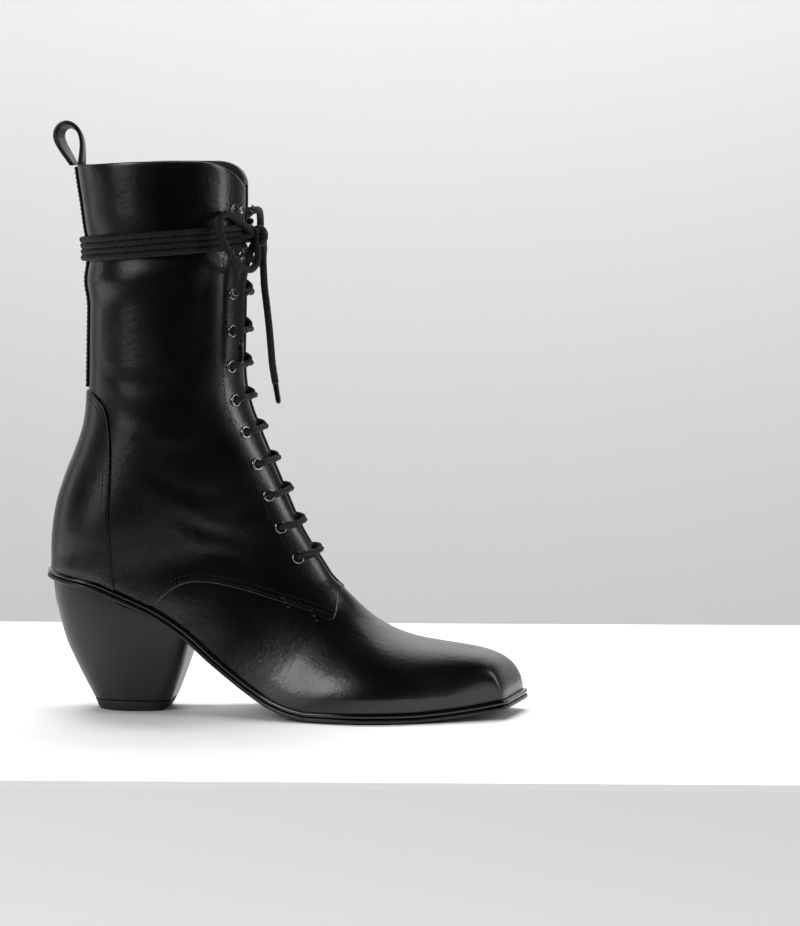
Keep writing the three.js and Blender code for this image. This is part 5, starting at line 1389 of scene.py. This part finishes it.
# Lace over the facings: out of each eyelet, round the edge, across the tongue and under the other facing
laceRadius = 1.85
laceRuns = eyeletRuns + hookRuns[:-1]
for i, (run, nextRun) in enumerate(zip(laceRuns, laceRuns[1:])):
    parts = []
    onHook = i >= eyeletCount
    for side, order in ((-1, 1), (1, 0)):
        rise = nextRun - run
        start = eyeletLine - 4.6 if onHook else eyeletLine
        rows = [] if onHook else [(0, start + 0.3, -3.4), (0, start + 0.1, -1.2), (0.005, start - 0.3, 1.2)]
        rows += [(0.01, start - 2.2, laceRadius + 1.0), (0.015, (start + facingEdge) / 2, laceRadius + 0.45),
                 (0.03, facingEdge + 1.0, laceRadius + 0.3), (0.07, facingEdge - 2.0, laceRadius - 1.0 + order * 1.1)]
        points = [facing(run + share * rise, side, across, out)[0] for share, across, out in rows]
        points.append(facing(run + 0.16 * rise, side, 0.05, -1.0 + order * 2.9)[0])
        points.append(facing(run + 0.3 * rise, -side, facingEdge - 2.2, -2.0)[0])
        points.append(facing(run + 0.4 * rise, -side, facingEdge + 3.0, -4.6)[0])
        parts.append(braidedTube(spline(points, 90), laceRadius, flat=0.9))
    crossing = joined(f"lace_crossing_{i + 1}_cord", parts, waxedCotton)
    finishPiece(crossing, "boot", "lace", f"lace_crossing_{i + 1}")

# Turns of lace round the leg, as one long helix that starts and ends behind the knot
rows = wrapLook["rows"]
turns = np.linspace(0.03, rows - 0.03, 560)
angle = (turns % 1.0) * 2 * pi
sRow = np.full(turns.shape, 1.5)
low, high = np.zeros(turns.shape), np.full(turns.shape, 6.0)
target = (turns - rows / 2) * wrapLook["pitch"]
for _ in range(34):
    middle = (low + high) / 2
    p = lastPoint(middle, angle)
    above = p[:, 2] > wrapFront[2] + wrapLook["slope"] * (p[:, 0] - wrapFront[0]) + target
    low, high = np.where(above, middle, low), np.where(above, high, middle)
base = lastPoint(low, angle)
out = 0.35 + wrapLook["radius"] + 1.15 * smooth(9.5, 6.5, np.abs(base[:, 1])) * (base[:, 0] < 0)
zipX = forward(zipLine[0][0])
out = out + 1.15 * smooth(16, 12, np.abs(base[:, 0] - zipX)) * (base[:, 1] > 0)
out = out + 0.12 * np.sin(turns * 2 * pi * 3.3) * np.sin(turns * 5.1)
helix = leatherPoint(low, angle, out)
wraps = joined("lace_wraps_cord", [braidedTube(helix, wrapLook["radius"], flat=1.0)], waxedCotton)
finishPiece(wraps, "boot", "lace", "lace_wraps")
print("lace done")

# Floor, wall and light
def stageMaterial(name, colour, rough):
    def build(tree, principled):
        place = addNode(tree, "ShaderNodeTexCoord").outputs["Object"]
        noise = addNode(tree, "ShaderNodeTexNoise", {"Vector": place, "Scale": 3.0})
        shade = addNode(tree, "ShaderNodeMix", {0: noise.outputs["Fac"], 6: linear(colour), 7: linear(colour)}, data_type="RGBA")
        tree.links.new(shade.outputs[2], principled.inputs["Base Color"])

    return newMaterial(name, {"Roughness": rough}, build)


paper = stageMaterial("matt white board", "#f3f3f1", 0.6)
wallPaint = stageMaterial("matt wall paint", "#e9e9e8", 0.8)
stageLook = {"front": -0.237, "back": 0.345, "turn": 6, "wall": 2.1, "edge": 0.003}


def stagePiece(name, rows, half, material):
    c, s = math.cos(math.radians(stageLook["turn"])), math.sin(math.radians(stageLook["turn"]))
    verts = [(x * c - y * s, x * s + y * c, z) for y, z in rows for x in (-half, half)]
    faces = [(2 * i, 2 * i + 1, 2 * i + 3, 2 * i + 2) for i in range(len(rows) - 1)]
    mesh = bpy.data.meshes.new(name)
    mesh.from_pydata(verts, [], faces)
    mesh.materials.append(material)
    piece = bpy.data.objects.new(name, mesh)
    scene.collection.objects.link(piece)
    return piece


edge = stageLook["edge"]
stagePieces = [stagePiece("floor", [(stageLook["front"], -1.2), (stageLook["front"], -edge), (stageLook["front"] + edge, 0),
                     (stageLook["back"], 0), (stageLook["back"], -1.2)], 3.0, paper),
               stagePiece("wall", [(stageLook["wall"], -2.5), (stageLook["wall"], 4.0)], 5.0, wallPaint)]


def softbox(name, place, aim, size, power):
    light = bpy.data.lights.new(name, "AREA")
    light.shape, light.size, light.size_y, light.energy = "RECTANGLE", size[0], size[1], power
    box = bpy.data.objects.new(name, light)
    box.location = place
    box.rotation_euler = (Vector(aim) - Vector(place)).to_track_quat("-Z", "Y").to_euler()
    scene.collection.objects.link(box)
    return box


softbox("left window", (-1.0, -1.2, 1.15), (0.0, 0.0, 0.2), (0.6, 0.8), 11)
softbox("left reflector", (-1.05, -1.2, 0.42), (0.0, 0.0, 0.2), (0.6, 0.75), 1.7)
softbox("left back strip", (-1.6, 0.35, 0.5), (0.0, 0.0, 0.15), (0.5, 1.0), 1.6)
softbox("top", (0.05, 0.9, 1.5), (0.05, 0.0, 0.0), (2.0, 0.5), 3.6)
softbox("right strip", (1.5, -0.1, 0.7), (0.05, 0.0, 0.18), (0.3, 1.1), 7)
onStage = bpy.data.collections.new("lit stage")
for piece in stagePieces:
    onStage.objects.link(piece)
for name, place, aim, size, power in (("floor wash", (0.05, 0.1, 1.9), (0.05, 0.05, 0.0), (2.6, 1.4), 17),
                                      ("wall wash", (0.0, 0.9, 2.4), (0.0, 2.1, 0.5), (2.4, 0.5), 82),
                                      ("plinth wash", (0.0, -0.8, -0.95), (0.0, -0.245, -0.2), (2.8, 0.3), 25)):
    softbox(name, place, aim, size, power).light_linking.receiver_collection = onStage

# Pale where the camera looks past the stage, dark where the leather would mirror it
world = bpy.data.worlds.new("studio")
world.use_nodes = True
tree = world.node_tree
tree.nodes.clear()
seen = addNode(tree, "ShaderNodeLightPath").outputs["Is Camera Ray"]
pale = addNode(tree, "ShaderNodeBackground", {"Color": linear("#eeeeec"), "Strength": 1.0})
dim = addNode(tree, "ShaderNodeBackground", {"Color": linear("#b9babc"), "Strength": 0.04})
both = addNode(tree, "ShaderNodeMixShader", {0: seen, 1: dim.outputs[0], 2: pale.outputs[0]})
addNode(tree, "ShaderNodeOutputWorld", {"Surface": both.outputs[0]})
scene.world = world
scene.view_settings.view_transform = "Standard"
print("light set")
